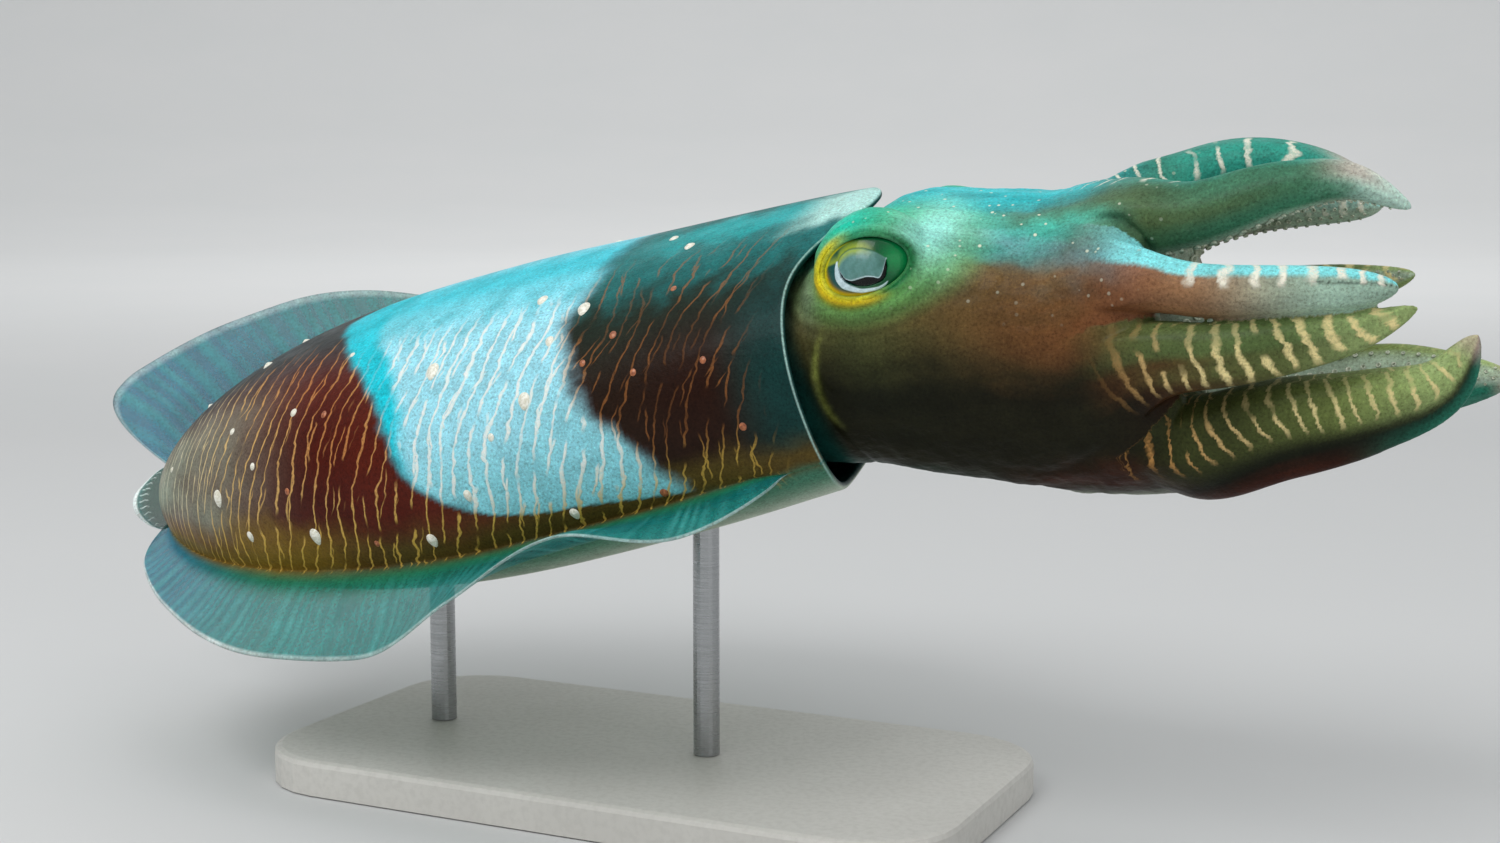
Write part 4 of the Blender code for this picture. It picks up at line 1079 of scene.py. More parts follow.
LINE_PALE, LINE_GOLD_PALE, LINE_FRONT = rgb(244, 240, 222), rgb(238, 220, 158), rgb(160, 102, 54)
FIN_TEAL, FIN_BLUE, FIN_GREEN = rgb(6, 136, 132), rgb(10, 124, 154), rgb(44, 128, 76)
FIN_PALE, FIN_MARGIN, FIN_DEEP = rgb(104, 204, 198), rgb(240, 250, 248), rgb(6, 84, 66)
HEAD_BROWN, HEAD_RED, HEAD_OLIVE = rgb(102, 86, 50), rgb(112, 68, 38), rgb(74, 84, 46)
# the darkest head tone here is dark skin deepened into painted shade, laid where shade falls on the head and
# arms
DARK_SKIN_AND_SHADE, HEAD_LOW_RED, HEAD_LOW_GREEN = rgb(16, 20, 10), rgb(66, 26, 14), rgb(16, 56, 44)
HEAD_BELLY, HEAD_TEAL, HEAD_BLUE = rgb(150, 160, 138), rgb(62, 190, 172), rgb(110, 166, 172)
HEAD_CYAN, EYE_PALE, EYE_GREEN = rgb(36, 194, 206), rgb(164, 242, 230), rgb(98, 168, 92)
EYE_TEAL, EYE_GREY, EYE_DEEP_GREEN = rgb(16, 208, 178), rgb(120, 138, 112), rgb(8, 104, 52)
ARC_GREEN, NECK_TEAL, RING_YELLOW = rgb(158, 168, 84), rgb(20, 78, 72), rgb(232, 220, 40)
RING_ORANGE, ARM_OLIVE, ARM_GREEN = rgb(228, 176, 14), rgb(88, 98, 56), rgb(66, 122, 94)
ARM_TEAL, ARM_TIP, ARM_PINK = rgb(44, 154, 138), rgb(198, 228, 216), rgb(214, 186, 176)
ARM_UNDER, ARM_RED, ARM_GREY = rgb(176, 196, 176), rgb(122, 66, 40), rgb(160, 190, 172)
ARM_TAN, ARM_WHITE, ARM_BROWN = rgb(150, 112, 80), rgb(132, 230, 235), rgb(96, 60, 33)
ARM_GREEN_DARK, ARM_GREY_GREEN = rgb(88, 110, 64), rgb(160, 182, 120)
ARM_OLIVE_DARK, ARM_OLIVE_GREEN, KEEL_TEAL = rgb(60, 66, 32), rgb(122, 138, 76), rgb(40, 122, 100)
IRIS_GREEN, IRIS_TEAL, IRIS_BRIGHT = rgb(5, 74, 40), rgb(16, 84, 96), rgb(4, 138, 72)
IRIS_LIME, FLAP_GREY, FLAP_DARK = rgb(168, 186, 40), rgb(104, 150, 146), rgb(58, 104, 92)
CRESCENT_WHITE, PUPIL = rgb(216, 240, 246), rgb(3, 7, 7)


# The skin's colours

def blend_to(base, colour, weight):
    """Base colours moved towards a colour (one, or one per point) by a weight per point."""
    weight = np.clip(np.asarray(weight, float), 0, 1)[..., None]
    return base * (1 - weight) + np.asarray(colour, float) * weight


def painted(base, *layers):
    """A base colour, or one per point, under layers of (colour, weight per point)."""
    for colour, weight in layers:
        base = blend_to(base, colour, weight)
    return base


def wander(a, b, scale, seed):
    """A smooth random-looking field of two coordinates, from -1 to 1."""
    rng = np.random.default_rng(seed)
    total = 0.0
    for octave in range(5):
        k = scale * 1.9**octave
        direction, phase = rng.uniform(0, 2 * math.pi, 2)
        along = a * math.cos(direction) + b * math.sin(direction)
        across = b * math.cos(direction) - a * math.sin(direction)
        total = total + 0.62**octave * np.sin(k * along + phase + 1.3 * np.sin(0.7 * k * across))
    return np.clip(total / 1.9, -1, 1)


def mantle_look(t, angle):
    """Fields of the mantle's skin at share t of its length and an angle in degrees."""
    a = np.abs(angle)
    x, y = t * MANTLE_LENGTH * 1000, np.radians(angle) * MANTLE_GIRTH_RADIUS
    blotch = wander(x, y, 0.09, 3)
    fine = wander(x, y, 0.35, 4)
    lowest = SADDLE_REAR[-1][0]
    rear_edge = curve(SADDLE_REAR, np.clip(a, 0, lowest)) + 0.010 * blotch + 0.003 * fine
    front_edge = curve(SADDLE_FRONT, np.clip(a, 0, lowest)) + 0.008 * blotch + 0.005 * fine
    tone = painted(
        RUST,
        (RUST_DEEP, 0.7 * near(t, 0.62, 0.12) * step(25, 60, a)),
        # painted sheen: grey-blue reflected light over the upper rear of the mantle
        (SLATE_SHEEN, 0.9 * step(0.58, 0.90, t) * step(96, 66, a) * step(16, 40, a) * (0.85 + 0.25 * blotch)),
        (SLATE_DARK, 0.85 * step(40, 8, a)),
        # painted sheen: a smaller patch of it low on the rear side
        (SLATE_SHEEN, 0.55 * near(t, 0.80, 0.05) * near(a, 82, 9)),
        (OLIVE_GOLD, 0.9 * step(78, 99, a + 6 * blotch) * step(0.50, 0.66, t)),
        (OLIVE, step(84, 104, a + 5 * blotch) * step(0.66, 0.5, t)),
    )
    front = step(front_edge + 0.022, front_edge - 0.022, t)
    dark = painted(
        UMBER,
        (UMBER_GREEN, 0.9 * step(66, 30, a) * step(0.42, 0.20, t)),
        (UMBER_DEEP, 0.8 * near(t, 0.10, 0.07) * near(a, 72, 24)),
        (DARK_TEAL, 0.85 * step(0.085, 0.01, t) * step(20, 50, a)),
        (OLIVE, step(90, 104, a + 4 * blotch)),
        (CYAN, 0.35 * step(40, 16, a + 5 * fine)),
        (CYAN, 0.85 * step(13, 2, a + 5 * fine) * step(0.24, 0.12, t)),
        # pale cyan lobe at the front of the back, partly a painted highlight
        (PALE_CYAN_AND_HIGHLIGHT, 0.85 * step(17, 5, a + 4 * fine) * step(0.075, 0.035, t)),
    )
    inside = step(front_edge - 0.016, front_edge + 0.016, t) * step(rear_edge + 0.009, rear_edge - 0.009, t)
    white_from = rear_edge - 0.075 * np.clip(1 - a / 82, 0, 1)
    saddle = painted(
        SADDLE_WHITE,
        (SADDLE_BLUE, step(34, 12, a + 5 * fine)),
        (SADDLE_LOW, 0.9 * step(66, 92, a + 6 * blotch)),
        (SADDLE_LOW, 0.7 * near(t, front_edge + 0.02, 0.05) * step(50, 80, a)),
        (CYAN_BRIGHT, step(white_from - 0.014, white_from + 0.012, t)),
        (CYAN_BRIGHT, 0.75 * step(14, 2, a)),
    )
    saddle = saddle * (1 + 0.10 * fine[..., None])
    tone = painted(
        tone,
        (dark, front),
        (saddle, inside),
        (BELLY_EDGE, step(108, 122, a + 4 * blotch)),
        (BELLY, step(118, 148, a)),
    )
    line = painted(
        LINE_CREAM,
        (LINE_RUST, 0.75 * near(t, rear_edge + 0.07, 0.10) * step(100, 60, a)),
        (LINE_SLATE, step(0.70, 0.9, t) * step(95, 70, a)),
        (LINE_GOLD, step(76, 96, a)),
        (LINE_FRONT, front * step(98, 84, a)),
        (LINE_WHITE, inside * step(104, 84, a)),
    )
    amount = 0.85 * step(4, 26, a) * step(124, 108, a)
    amount *= 1 - (0.35 + 0.40 * step(-0.1, 0.5, blotch) * step(95, 80, a)) * front
    amount *= step(0.02, 0.07, t)
    amount *= 1 - inside * step(32, 18, a)
    amount *= 1 - 0.9 * inside * step(white_from - 0.008, white_from + 0.008, t)
    lines_so_far = x / LINE_SPACING + 7.2 * np.clip((t - 0.74) / 0.26, 0, 1) ** 2
    lines_so_far = lines_so_far - (0.40 / LINE_SPACING) * np.clip(a - 35, 0, 75)
    stripe = np.stack([lines_so_far, y * mantle_scale(t) / LINE_SPACING, np.zeros_like(t)], -1)
    width = 0.088 + 0.050 * inside
    return dict(tone=tone, line_tone=line, line_amount=amount, line_width=width, stripe=stripe)


def fin_look(tone, t, v, side):
    """The mantle's colour carried out over a fin, and how clear it is; v is 0 off it and 1 at its edge."""
    along = t * MANTLE_LENGTH * 1000
    streak = 0.5 + 0.5 * np.sin(along * 1.55 + 1.9 * np.sin(along * 0.31) + 1.4 * side)
    streak = streak * (0.6 + 0.4 * wander(along, 6 * v, 0.25, 9))
    bright = np.where(side < 0, 0.55 + 0.45 * step(0.62, 0.72, t), 0.5)
    margin = step(0.955, 0.975, v) * bright * (0.85 + 0.15 * wander(along, 0 * v, 0.5, 19))
    film = painted(
        FIN_TEAL,
        (FIN_BLUE, step(0.66, 0.92, t)),
        (FIN_GREEN, 0.8 * step(0.5, 0.12, v) * step(0.95, 0.7, t)),
        (FIN_PALE, 0.5 * streak * step(0.1, 0.5, v)),
        (FIN_MARGIN, margin),
    )
    clear = step(0.04, 0.36, v) * (0.43 - 0.14 * streak) * (1 - 0.85 * margin)
    return blend_to(tone, film, step(0.0, 0.22, v)), clear


def tail_film_look(u, v):
    """Colours and clearness of the membrane at the tail: a clear film, white rays and a white edge."""
    margin = step(0.82, 0.86, v)
    rays = near(np.mod(u * 12 + 0.1 * np.sin(20 * v), 1.0), 0.5, 0.08)
    rays = rays * step(0.38, 0.50, v) * step(0.80, 0.74, v)
    tone = painted(FIN_DEEP, (FIN_TEAL, step(0.5, 1.0, v)), (FIN_MARGIN, np.maximum(margin, rays)))
    return dict(tone=tone, clear=(1 - margin) * (1 - rays) * 0.45)


def head_look(points):
    """Colours of the head's skin, and how strong its pale dots are, from points in the head's frame."""
    x, y, z = 1000 * points.T
    sizes = through(HEAD_STATIONS, np.clip(points[:, 0], HEAD_STATIONS[0][0], CROWN_X))
    middle = 500 * (sizes[:, 1] + sizes[:, 2])
    angle = np.degrees(np.arctan2(np.abs(y), z - middle))
    blotch = wander(x, angle * 0.8, 0.07, 11)
    fine = wander(x, angle * 0.8, 0.3, 12)
    flow = wander(x * 0.22, angle * 0.9, 0.32, 13)
    angle = angle + 4 * blotch + 1.5 * fine + 3.0 * flow
    a, b, _ = np.where(y < 0, *(np.stack(eye_plane(points, side)) for side in (-1, 1)))
    reach, bearing = opening_polar(a, b)
    green_reach = np.hypot((a - 4) / 15, b / (10.5 - 2.5 * (b < 0)))
    arc = near(x, 3.4 + 0.020 * (z + 10.5) ** 2, 1.2) * step(11, 6, z) * step(-24, -13, z)
    left = step(-0.35, 0.45, -np.cos(bearing - math.radians(18)))
    low_left = step(0.35, 0.8, -np.cos(bearing - math.radians(50)))
    tone = painted(
        HEAD_BROWN,
        (HEAD_RED, 0.8 * near(x, 80, 36) * near(angle, 80, 18)),
        (HEAD_OLIVE, 0.8 * near(x, 20, 24) * near(angle, 86, 26)),
        # painted shade: the head's underside darkened nearly to black, over its own dark skin
        (DARK_SKIN_AND_SHADE, 0.95 * step(76, 99, angle)),
        (HEAD_LOW_RED, 0.7 * near(angle, 143, 9) * step(40, 66, x)),
        (HEAD_LOW_GREEN, 0.6 * step(134, 150, angle) * step(50, 24, x)),
        (HEAD_BELLY, 0.9 * step(150, 172, angle)),
        (HEAD_TEAL, step(58, 40, angle - 8 * near(x, 18, 22))),
        (HEAD_CYAN, 0.85 * step(36, 22, angle)),
        (ARM_OLIVE, 0.7 * near(angle, 30, 9) * step(50, 72, x)),
        (HEAD_BLUE, 0.85 * near(angle, 33 + 0.44 * (x - 36), 7.5) * step(34, 48, x) * (0.75 + 0.35 * flow)),
        (EYE_GREEN, 0.85 * step(2.5, 1.2, green_reach + 0.10 * blotch)),
        (EYE_PALE, 0.95 * near(a, 20, 8.5) * near(b, 7, 10)),
        (EYE_TEAL, 0.95 * near(a, -3, 14) * near(b, 15, 6.5)),
        (EYE_GREY, 0.75 * near(a, -21, 4) * near(b, -2, 9)),
        (EYE_DEEP_GREEN, 0.7 * near(reach, 1.05, 0.12) * step(-4, 8, a) * step(9, 2, b)),
        (ARC_GREEN, arc * (0.42 + 0.25 * fine)),
        (NECK_TEAL, 0.8 * step(4, -4, x)),
        (RING_YELLOW, 0.95 * near(reach, 1.05, 0.17) * left),
        (RING_ORANGE, 0.5 * near(reach, 1.13, 0.09) * low_left),
        (EYE_DEEP_GREEN, 0.85 * near(reach, 1.02, 0.12) * (1 - left) * step(18, 2, b)),
    )
    tone = tone * (1 + 0.16 * flow + 0.08 * fine)[..., None]
    dots = 0.85 * step(78, 46, angle) * step(20, 36, x)
    return tone, dots


def arm_look(tone, dots, places, arms, ahead):
    """Fields of the head's and arms' skin: the head's colours carried on along the arms, with their bars."""
    line = np.broadcast_to(LINE_CREAM, tone.shape).copy()
    amount = np.zeros(len(tone))
    stripe = np.zeros((len(tone), 3))
    width = np.full(len(tone), 0.16)
    for number, arm in enumerate(arms):
        on = np.flatnonzero(places[:, 0] == number)
        s, c, outer = places[on, 1], places[on, 2], places[on, 3]
        upper = arm.side * c
        mm, turn = s * arm.length * 1000, np.arctan2(outer, c)
        blotch = wander(mm, turn * 10, 0.12, 20 + number)
        own_look, spacing, first, more, lean, wide = ARM_LOOKS[number // 2]
        own, amount[on], line[on], own_dots = own_look(s, upper, outer, blotch)
        mix = step(0.002, 0.034, ahead[on])
        tone[on] = tone[on] * (1 - mix[:, None]) + own * mix[:, None]
        tone[on] *= (1 + 0.15 * wander(mm * 0.25, turn * 9, 0.5, 60 + number))[:, None]
        dots[on] = dots[on] * (1 - mix) + own_dots * mix
        phase = mm / spacing * (first + more * s) - lean * (1 - 0.7 * s) * (1 - upper)
        stripe[on] = np.stack([phase, turn * 10 / spacing, np.full(len(on), 3.0 + 2 * number)], -1)
        width[on] = wide * (0.65 + 0.4 * s)
    return dict(tone=tone, dots=dots, line_tone=line, line_amount=amount, line_width=width, stripe=stripe)


def arm_1_look(s, upper, outer, blotch):
    """Colours, strength and colour of the bars, and dots, of the first arms: olive to teal, pale tips, with a
    pinkish-white painted highlight near them.
    """
    own = painted(
        ARM_OLIVE,
        (ARM_GREEN, step(0.15, 0.55, s)),
        (ARM_TEAL, 0.85 * step(-0.45, 0.35, upper + 0.2 * blotch) * step(0.0, 0.45, s)),
        (ARM_OLIVE, 0.6 * near(outer, 0.35, 0.35) * step(0.3, -0.2, upper) * step(0.8, 0.5, s)),
        (ARM_TIP, 0.9 * step(0.74, 0.95, s + 0.04 * blotch)),
        # pinkish-white near the tip, partly a painted highlight on the outer face
        (ARM_PINK, 0.6 * near(s, 0.84, 0.07) * step(0.2, 0.9, outer)),
        (ARM_UNDER, 0.8 * step(-0.35, -0.8, outer)),
    )
    bars = 0.85 * step(0.04, 0.14, s) * step(0.97, 0.88, s)
    bars = bars * step(0.10, 0.45, upper) * step(-0.5, -0.1, outer)
    return own, bars, LINE_PALE, 0.5 * step(0.5, 0.2, s)


def arm_2_look(s, upper, outer, blotch):
    """The same of the second arms: red-brown to grey, with a cyan upper face."""
    own = painted(
        ARM_RED,
        (ARM_TAN, step(0.20, 0.48, s)),
        (ARM_GREY, step(0.45, 0.85, s)),
        (ARM_WHITE, 0.95 * step(0.12, 0.36, upper + 0.10 * blotch) * step(0.10, 0.30, s)),
        # painted shade: a dark line along the groove near the tip
        (DARK_SKIN_AND_SHADE, 0.85 * near(upper, -0.02 - 0.25 * (s - 0.8), 0.055) * step(0.74, 0.82, s)),
        (ARM_UNDER, 0.8 * step(-0.45, -0.85, outer)),
    )
    bars = 0.95 * step(0.38, 0.5, s) * step(0.99, 0.95, s) * step(-0.30, 0.0, upper)
    return own, bars, LINE_PALE, 0.5 * step(0.4, 0.2, s)


def arm_3_look(s, upper, outer, blotch):
    """The same of the third arms: brown to olive, with painted shade below their roots."""
    own = painted(
        ARM_BROWN,
        (ARM_OLIVE, step(0.25, 0.6, s + 0.1 * blotch)),
        (ARM_GREEN_DARK, 0.85 * step(0.15, 0.55, upper)),
        (HEAD_LOW_RED, 0.7 * step(-0.2, -0.6, upper) * step(0.7, 0.4, s)),
        # painted shade below the roots, in the gap between these arms and the fourth
        (DARK_SKIN_AND_SHADE, 0.85 * step(-0.15, -0.5, upper) * step(0.42, 0.2, s)),
        (ARM_GREY_GREEN, 0.7 * step(0.62, 0.9, s)),
        (ARM_UNDER, 0.8 * step(-0.45, -0.85, outer)),
    )
    bars = 0.9 * step(0.16, 0.34, s) * step(0.99, 0.93, s) * step(-0.75, -0.35, upper)
    bars = bars * (1 - 0.6 * step(0.45, 0.8, upper) * step(0.8, 0.5, s))
    return own, bars, painted(LINE_BROWN, (LINE_GOLD_PALE, step(0.15, 0.5, s))), 0.0


def arm_4_look(s, upper, outer, blotch):
    """The same of the fourth arms: dark skin with painted shade, olive above, with red and then teal along
    the keel.
    """
    own = painted(
        # dark skin with painted shade, showing mostly near the root where the arm meets the head's underside
        DARK_SKIN_AND_SHADE,
        (ARM_OLIVE_DARK, step(-0.5, 0.3, upper) * step(0.10, 0.36, s)),
        (ARM_OLIVE_GREEN, step(-0.3, 0.4, upper) * step(0.35, 0.8, s)),
        (ARM_GREY_GREEN, 0.85 * step(0.6, 0.95, s) * step(-0.5, 0.2, upper)),
        (HEAD_LOW_RED, 0.8 * step(-0.35, -0.75, upper) * step(0.85, 0.5, s)),
        (KEEL_TEAL, 0.85 * step(-0.3, -0.8, upper) * step(0.6, 0.85, s)),
        (ARM_PINK, 0.5 * step(0.93, 0.985, s)),
        (ARM_UNDER, 0.75 * step(-0.5, -0.9, outer)),
    )
    bars = 0.85 * step(0.06, 0.3, s) * step(0.97, 0.9, s) * step(-0.6, -0.1, outer)
    bars = bars * step(0.20 - 0.30 * s, 0.60 - 0.30 * s, upper + 0.12 * blotch)
    bars = bars * (1 - 0.55 * step(0.75, 0.95, upper))
    return own, bars, painted(LINE_BROWN, (LINE_GOLD_PALE, step(0.2, 0.6, s))), 0.0


# The looks of each pair of arms, and its bars: millimetres between them, how close they are at the root
# and how that changes along the arm, their lean, and their width as a share of the distance
ARM_LOOKS = (
    (arm_1_look, 8.0, 1.6, -0.75, 0.0, 0.15),
    (arm_2_look, 7.6, 0.3, 0.55, -0.15, 0.27),
    (arm_3_look, 5.4, 1.35, -0.35, 0.7, 0.29),
    (arm_4_look, 4.5, 1.1, -0.15, 0.15, 0.20),
)


# Materials

class Nodes:
    """A material's nodes, made in the order that they are needed."""

    def __init__(self, name):
        self.material = bpy.data.materials.new(name)
        self.material.use_nodes = True
        self.tree = self.material.node_tree
        self.shader = self.tree.nodes["Principled BSDF"]
        self.place = self.add("ShaderNodeTexCoord").outputs["Object"]

    def put(self, socket, value):
        """Links an output to a socket, or sets the socket."""
        if isinstance(value, bpy.types.NodeSocket):
            self.tree.links.new(value, socket)
        else:
            socket.default_value = value

    def add(self, kind, inputs=None, **settings):
        """A new node with its settings and inputs."""
        node = self.tree.nodes.new(kind)
        for key, value in settings.items():
            setattr(node, key, value)
        for key, value in (inputs or {}).items():
            self.put(node.inputs[key], value)
        return node

    def shade(self, inputs):
        """Sets or links inputs of the shader."""
        for key, value in inputs.items():
            self.put(self.shader.inputs[key], value)

    def read(self, name, kind="Fac"):
        return self.add("ShaderNodeAttribute", attribute_name=name).outputs[kind]

    def parts(self, vector):
        return self.add("ShaderNodeSeparateXYZ", {0: vector}).outputs

    def math(self, operation, *values):
        return self.add("ShaderNodeMath", dict(enumerate(values)), operation=operation).outputs[0]

    def plus(self, first, second):
        return self.math("ADD", first, second)

    def minus(self, first, second):
        return self.math("SUBTRACT", first, second)

    def times(self, first, second):
        return self.math("MULTIPLY", first, second)

    def ramp(self, value, low, high, to_low=0.0, to_high=1.0):
        inputs = {"Value": value, "From Min": low, "From Max": high, "To Min": to_low, "To Max": to_high}
        return self.add("ShaderNodeMapRange", inputs, interpolation_type="SMOOTHSTEP").outputs["Result"]

    def noise(self, vector, scale, detail=2.0, roughness=0.5):
        inputs = {"Vector": vector, "Scale": scale, "Detail": detail, "Roughness": roughness}
        return self.add("ShaderNodeTexNoise", inputs).outputs["Fac"]

    def stretch(self, vector, scale, offset=(0.0, 0.0, 0.0)):
        inputs = {"Vector": vector, "Scale": scale, "Location": offset}
        return self.add("ShaderNodeMapping", inputs).outputs[0]

    def mix(self, factor, first, second, blend="MIX"):
        node = self.add("ShaderNodeMix", data_type="RGBA", blend_type=blend)
        self.put(node.inputs["Factor"], factor)
        self.put(node.inputs["A"], first)
        self.put(node.inputs["B"], second)
        return node.outputs["Result"]

    def tinted(self, factor, under, tone, *tint):
        """A colour moved towards a tone multiplied by a tint."""
        return self.mix(factor, under, self.mix(1.0, tone, (*tint, 1), "MULTIPLY"))

    def bump(self, height, strength, distance, under=None):
        node = self.add("ShaderNodeBump", {"Height": height, "Strength": strength, "Distance": distance})
        if under is not None:
            self.put(node.inputs["Normal"], under)
        return node.outputs[0]


def stripes(made, stripe, width, core, slant, seed, cover):
    """Wavy broken lines across the first stripe coordinate, as a mask from 0 to 1."""
    place = made.parts(stripe)
    slow = made.noise(made.stretch(stripe, (0.40 / slant, 0.20, 1.0), (seed, 0, 0)), 1.0, 1.0)
    quick = made.noise(made.stretch(stripe, (0.75, 1.25, 1.0), (0, seed, 0)), 1.0, 1.5, 0.5)
    moved = made.plus(place["X"], made.times(made.minus(slow, 0.5), slant))
    moved = made.plus(moved, made.times(made.minus(quick, 0.5), 0.50))
    away = made.math("ABSOLUTE", made.minus(made.math("FRACT", moved), 0.5))
    body = made.noise(made.stretch(stripe, (2.3, 1.7, 1.0), (3.1, seed, 5.0)), 1.0, 2.0)
    wide = made.times(width, made.ramp(body, 0.3, 0.7, 0.65, 1.25))
    mask = made.minus(1.0, made.ramp(away, made.times(wide, core), wide))
    own = made.add("ShaderNodeCombineXYZ", {
        "X": made.times(made.math("FLOOR", moved), 7.31), "Y": made.times(place["Y"], 0.42), "Z": place["Z"],
    }).outputs[0]
    return made.times(mask, made.ramp(made.noise(own, 1.0, 1.0), cover - 0.05, cover + 0.05))


def skin_material(name, thin):
    """Wet skin: colours painted on the mesh, with lines, colour cells, pale dots and a fine grain."""
    made = Nodes(name)
    tone, line = made.read("tone", "Color"), made.read("line_tone", "Color")
    stripe, width, amount = made.read("stripe", "Vector"), made.read("line_width"), made.read("line_amount")
    cells = made.noise(made.place, CELL_SCALE, 3.0, 0.7)
    clouds = made.noise(made.place, CLOUD_SCALE, 4.0, 0.6)
    colour = made.tinted(made.ramp(clouds, 0.35, 0.7, 0.0, 0.32), tone, tone, 0.42, 0.40, 0.38)
    colour = made.tinted(made.ramp(cells, 0.48, 0.68, 0.0, 0.5), colour, tone, 0.30, 0.25, 0.22)
    colour = made.tinted(made.ramp(cells, 0.46, 0.30, 0.0, 0.5), colour, tone, 1.5, 1.55, 1.45)
    on_mantle = made.ramp(made.parts(stripe)["Z"], 1.0, 2.0, 1.0, 0.0)
    core = made.ramp(on_mantle, 0.0, 1.0, 0.25, 0.45)
    first = stripes(made, stripe, width, core, 1.6, 0.0, 0.40)
    second = made.times(stripes(made, stripe, made.times(width, 0.8), core, 3.6, 11.7, 0.58), on_mantle)
    lines = made.times(made.math("MAXIMUM", first, second), amount)
    lines = made.times(lines, made.ramp(cells, 0.34, 0.56, 0.62, 1.0))
    colour = made.mix(lines, colour, line)
    spots = made.add("ShaderNodeTexVoronoi", {"Vector": made.place, "Scale": DOT_SCALE, "Randomness": 1.0})
    keep = made.ramp(made.add("ShaderNodeSeparateColor", {0: spots.outputs["Color"]}).outputs[0], 0.46, 0.48)
    dot = made.times(made.ramp(spots.outputs["Distance"], 0.20, 0.10), keep)
    dot = made.times(dot, made.read("dots"))
    grain = made.bump(cells, 0.22, 0.0006)
    folds = made.bump(made.noise(made.place, FOLD_SCALE, 4.0, 0.6), 0.35, 0.0012, grain)
    made.shade({
        "Base Color": made.mix(dot, colour, (0.80, 0.84, 0.66, 1)),
        "Roughness": made.ramp(clouds, 0.3, 0.7, 0.34, 0.50),
        "Normal": made.bump(made.plus(lines, dot), 0.5, 0.0007, folds),
        "Coat Weight": 0.04,
        "Coat Roughness": 0.16,
        "Specular IOR Level": 0.08,
        "Subsurface Weight": 0.10,
        "Subsurface Radius": (1.0, 0.55, 0.35),
        "Subsurface Scale": 0.003,
    })
    if thin:
        made.shade({"Alpha": made.minus(1.0, made.read("clear"))})
    return made.material


def plain_skin(name, colour, other, roughness, scale):
    """A small mottled finish for suckers, papillae and the like."""
    made = Nodes(name)
    field = made.noise(made.place, scale, 3.0, 0.6)
    made.shade({
        "Base Color": made.mix(made.ramp(field, 0.35, 0.65), (*colour, 1), (*other, 1)),
        "Roughness": made.ramp(field, 0.3, 0.7, roughness, roughness + 0.12),
        "Normal": made.bump(field, 0.3, 0.0004),
        "Coat Weight": 0.2,
    })
    return made.material


# The pieces

def attribute(made, name, values):
    """Keeps a number, vector or colour for each point of a mesh."""
    values = np.asarray(values, np.float32)
    kind, key = ("FLOAT_VECTOR", "vector") if values.ndim > 1 else ("FLOAT", "value")
    layer = made.attributes.new(name, kind, "POINT")
    layer.data.foreach_set(key, values.ravel())


def placed(points, matrix):
    """Points moved by a matrix."""
    m = np.array(matrix)
    return points @ m[:3, :3].T + m[:3, 3]


def show(name, made, finishes, nodes):
    """A piece in the scene that rides on the model and stands for CAD nodes."""
    thing = linked(name, made)
    for finish in finishes:
        made.materials.append(finish)
    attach(thing, "root")
    if nodes:
        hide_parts(*nodes)


def small_piece(name, parts, pose, finish, nodes=()):
    """Closed forms in one finish, from a list of (points, quads, triangles), as one piece."""
    points, quads, ends = joined(parts)
    show(name, closed(name, (placed(points, pose), quads, ends)), [finish], nodes)


def build_skin(arms, body_pose, head_pose):
    """One skin over the mantle, fins, head and arms."""
    *mantle, facts = mantle_skin()
    t, angle, v, inside = (facts[key] for key in ("t", "angle", "v", "inside"))
    mantle_fields = mantle_look(t, angle)
    tone, mantle_fields["clear"] = fin_look(mantle_fields["tone"], t, v, facts["side"])
    mantle_fields["line_amount"] *= step(0.10, 0.0, v) * (1 - np.clip(3 * inside, 0, 1))
    mantle_fields["tone"] = painted(
        tone,
        # painted highlight along the rolled front edge of the collar
        (PALE_CYAN_AND_HIGHLIGHT, 0.8 * near(inside, 0.05, 0.05) * (inside > 0) * step(150, 100, np.abs(angle))),
        # painted shade: the inner wall of the collar, inside the mantle's opening, darkened
        (DARK_TEAL, step(0.10, 0.22, inside)),
    )
    head_points, head_quads = head_and_arms(arms)
    ahead = head_points[:, 0] - CROWN_X
    head_fields = arm_look(*head_look(head_points), arm_places(head_points, arms), arms, ahead)
    *film, along, across = tail_film()
    sets = (
        (*mantle, body_pose, mantle_fields),
        (head_points, head_quads, [], head_pose, head_fields),
        (*film, body_pose, tail_film_look(along, across)),
    )
    points, quads, ends = joined([(placed(p, pose), q, e) for p, q, e, pose, _ in sets])
    made = mesh_of("skin", points, quads, ends)
    for name in ("tone", "line_tone", "line_amount", "line_width", "stripe", "dots", "clear"):
        empty = (3,) if name in ("tone", "line_tone", "stripe") else ()
        attribute(made, name, np.concatenate([
            fields.get(name, np.zeros((len(p),) + empty)) for p, _, _, _, fields in sets
        ]))
    sketch = bmesh.new()
    sketch.from_mesh(made)
    layer = sketch.verts.layers.float["clear"]
    bmesh.ops.remove_doubles(sketch, verts=sketch.verts[:], dist=2e-6)
    bmesh.ops.recalc_face_normals(sketch, faces=sketch.faces)
    for face in sketch.faces:
        face.material_index = int(any(v[layer] > 0.001 for v in face.verts))
    sketch.to_mesh(made)
    sketch.free()
    made.shade_smooth()
    nodes = ["mantle", "head", "funnel", "mouth", "fin_left", "fin_right"]
    nodes += [f"{arm.name}_{word}" for arm in arms for word in ("root", "tip")]
    show("skin", made, [skin_material("skin", False), skin_material("fin_skin", True)], nodes)


def stroke(a, b, marks):
    """How far inside a drawn stroke points are: the marks are (forwards, up, half width)."""
    table = np.column_stack([np.arange(len(marks)), np.array(marks)])
    best = np.full(a.shape, -1e9)
    for forward, up, half in through(table, np.linspace(0, len(marks) - 1, 90)):
        best = np.maximum(best, half - np.hypot(a - forward, b - up))
    return best


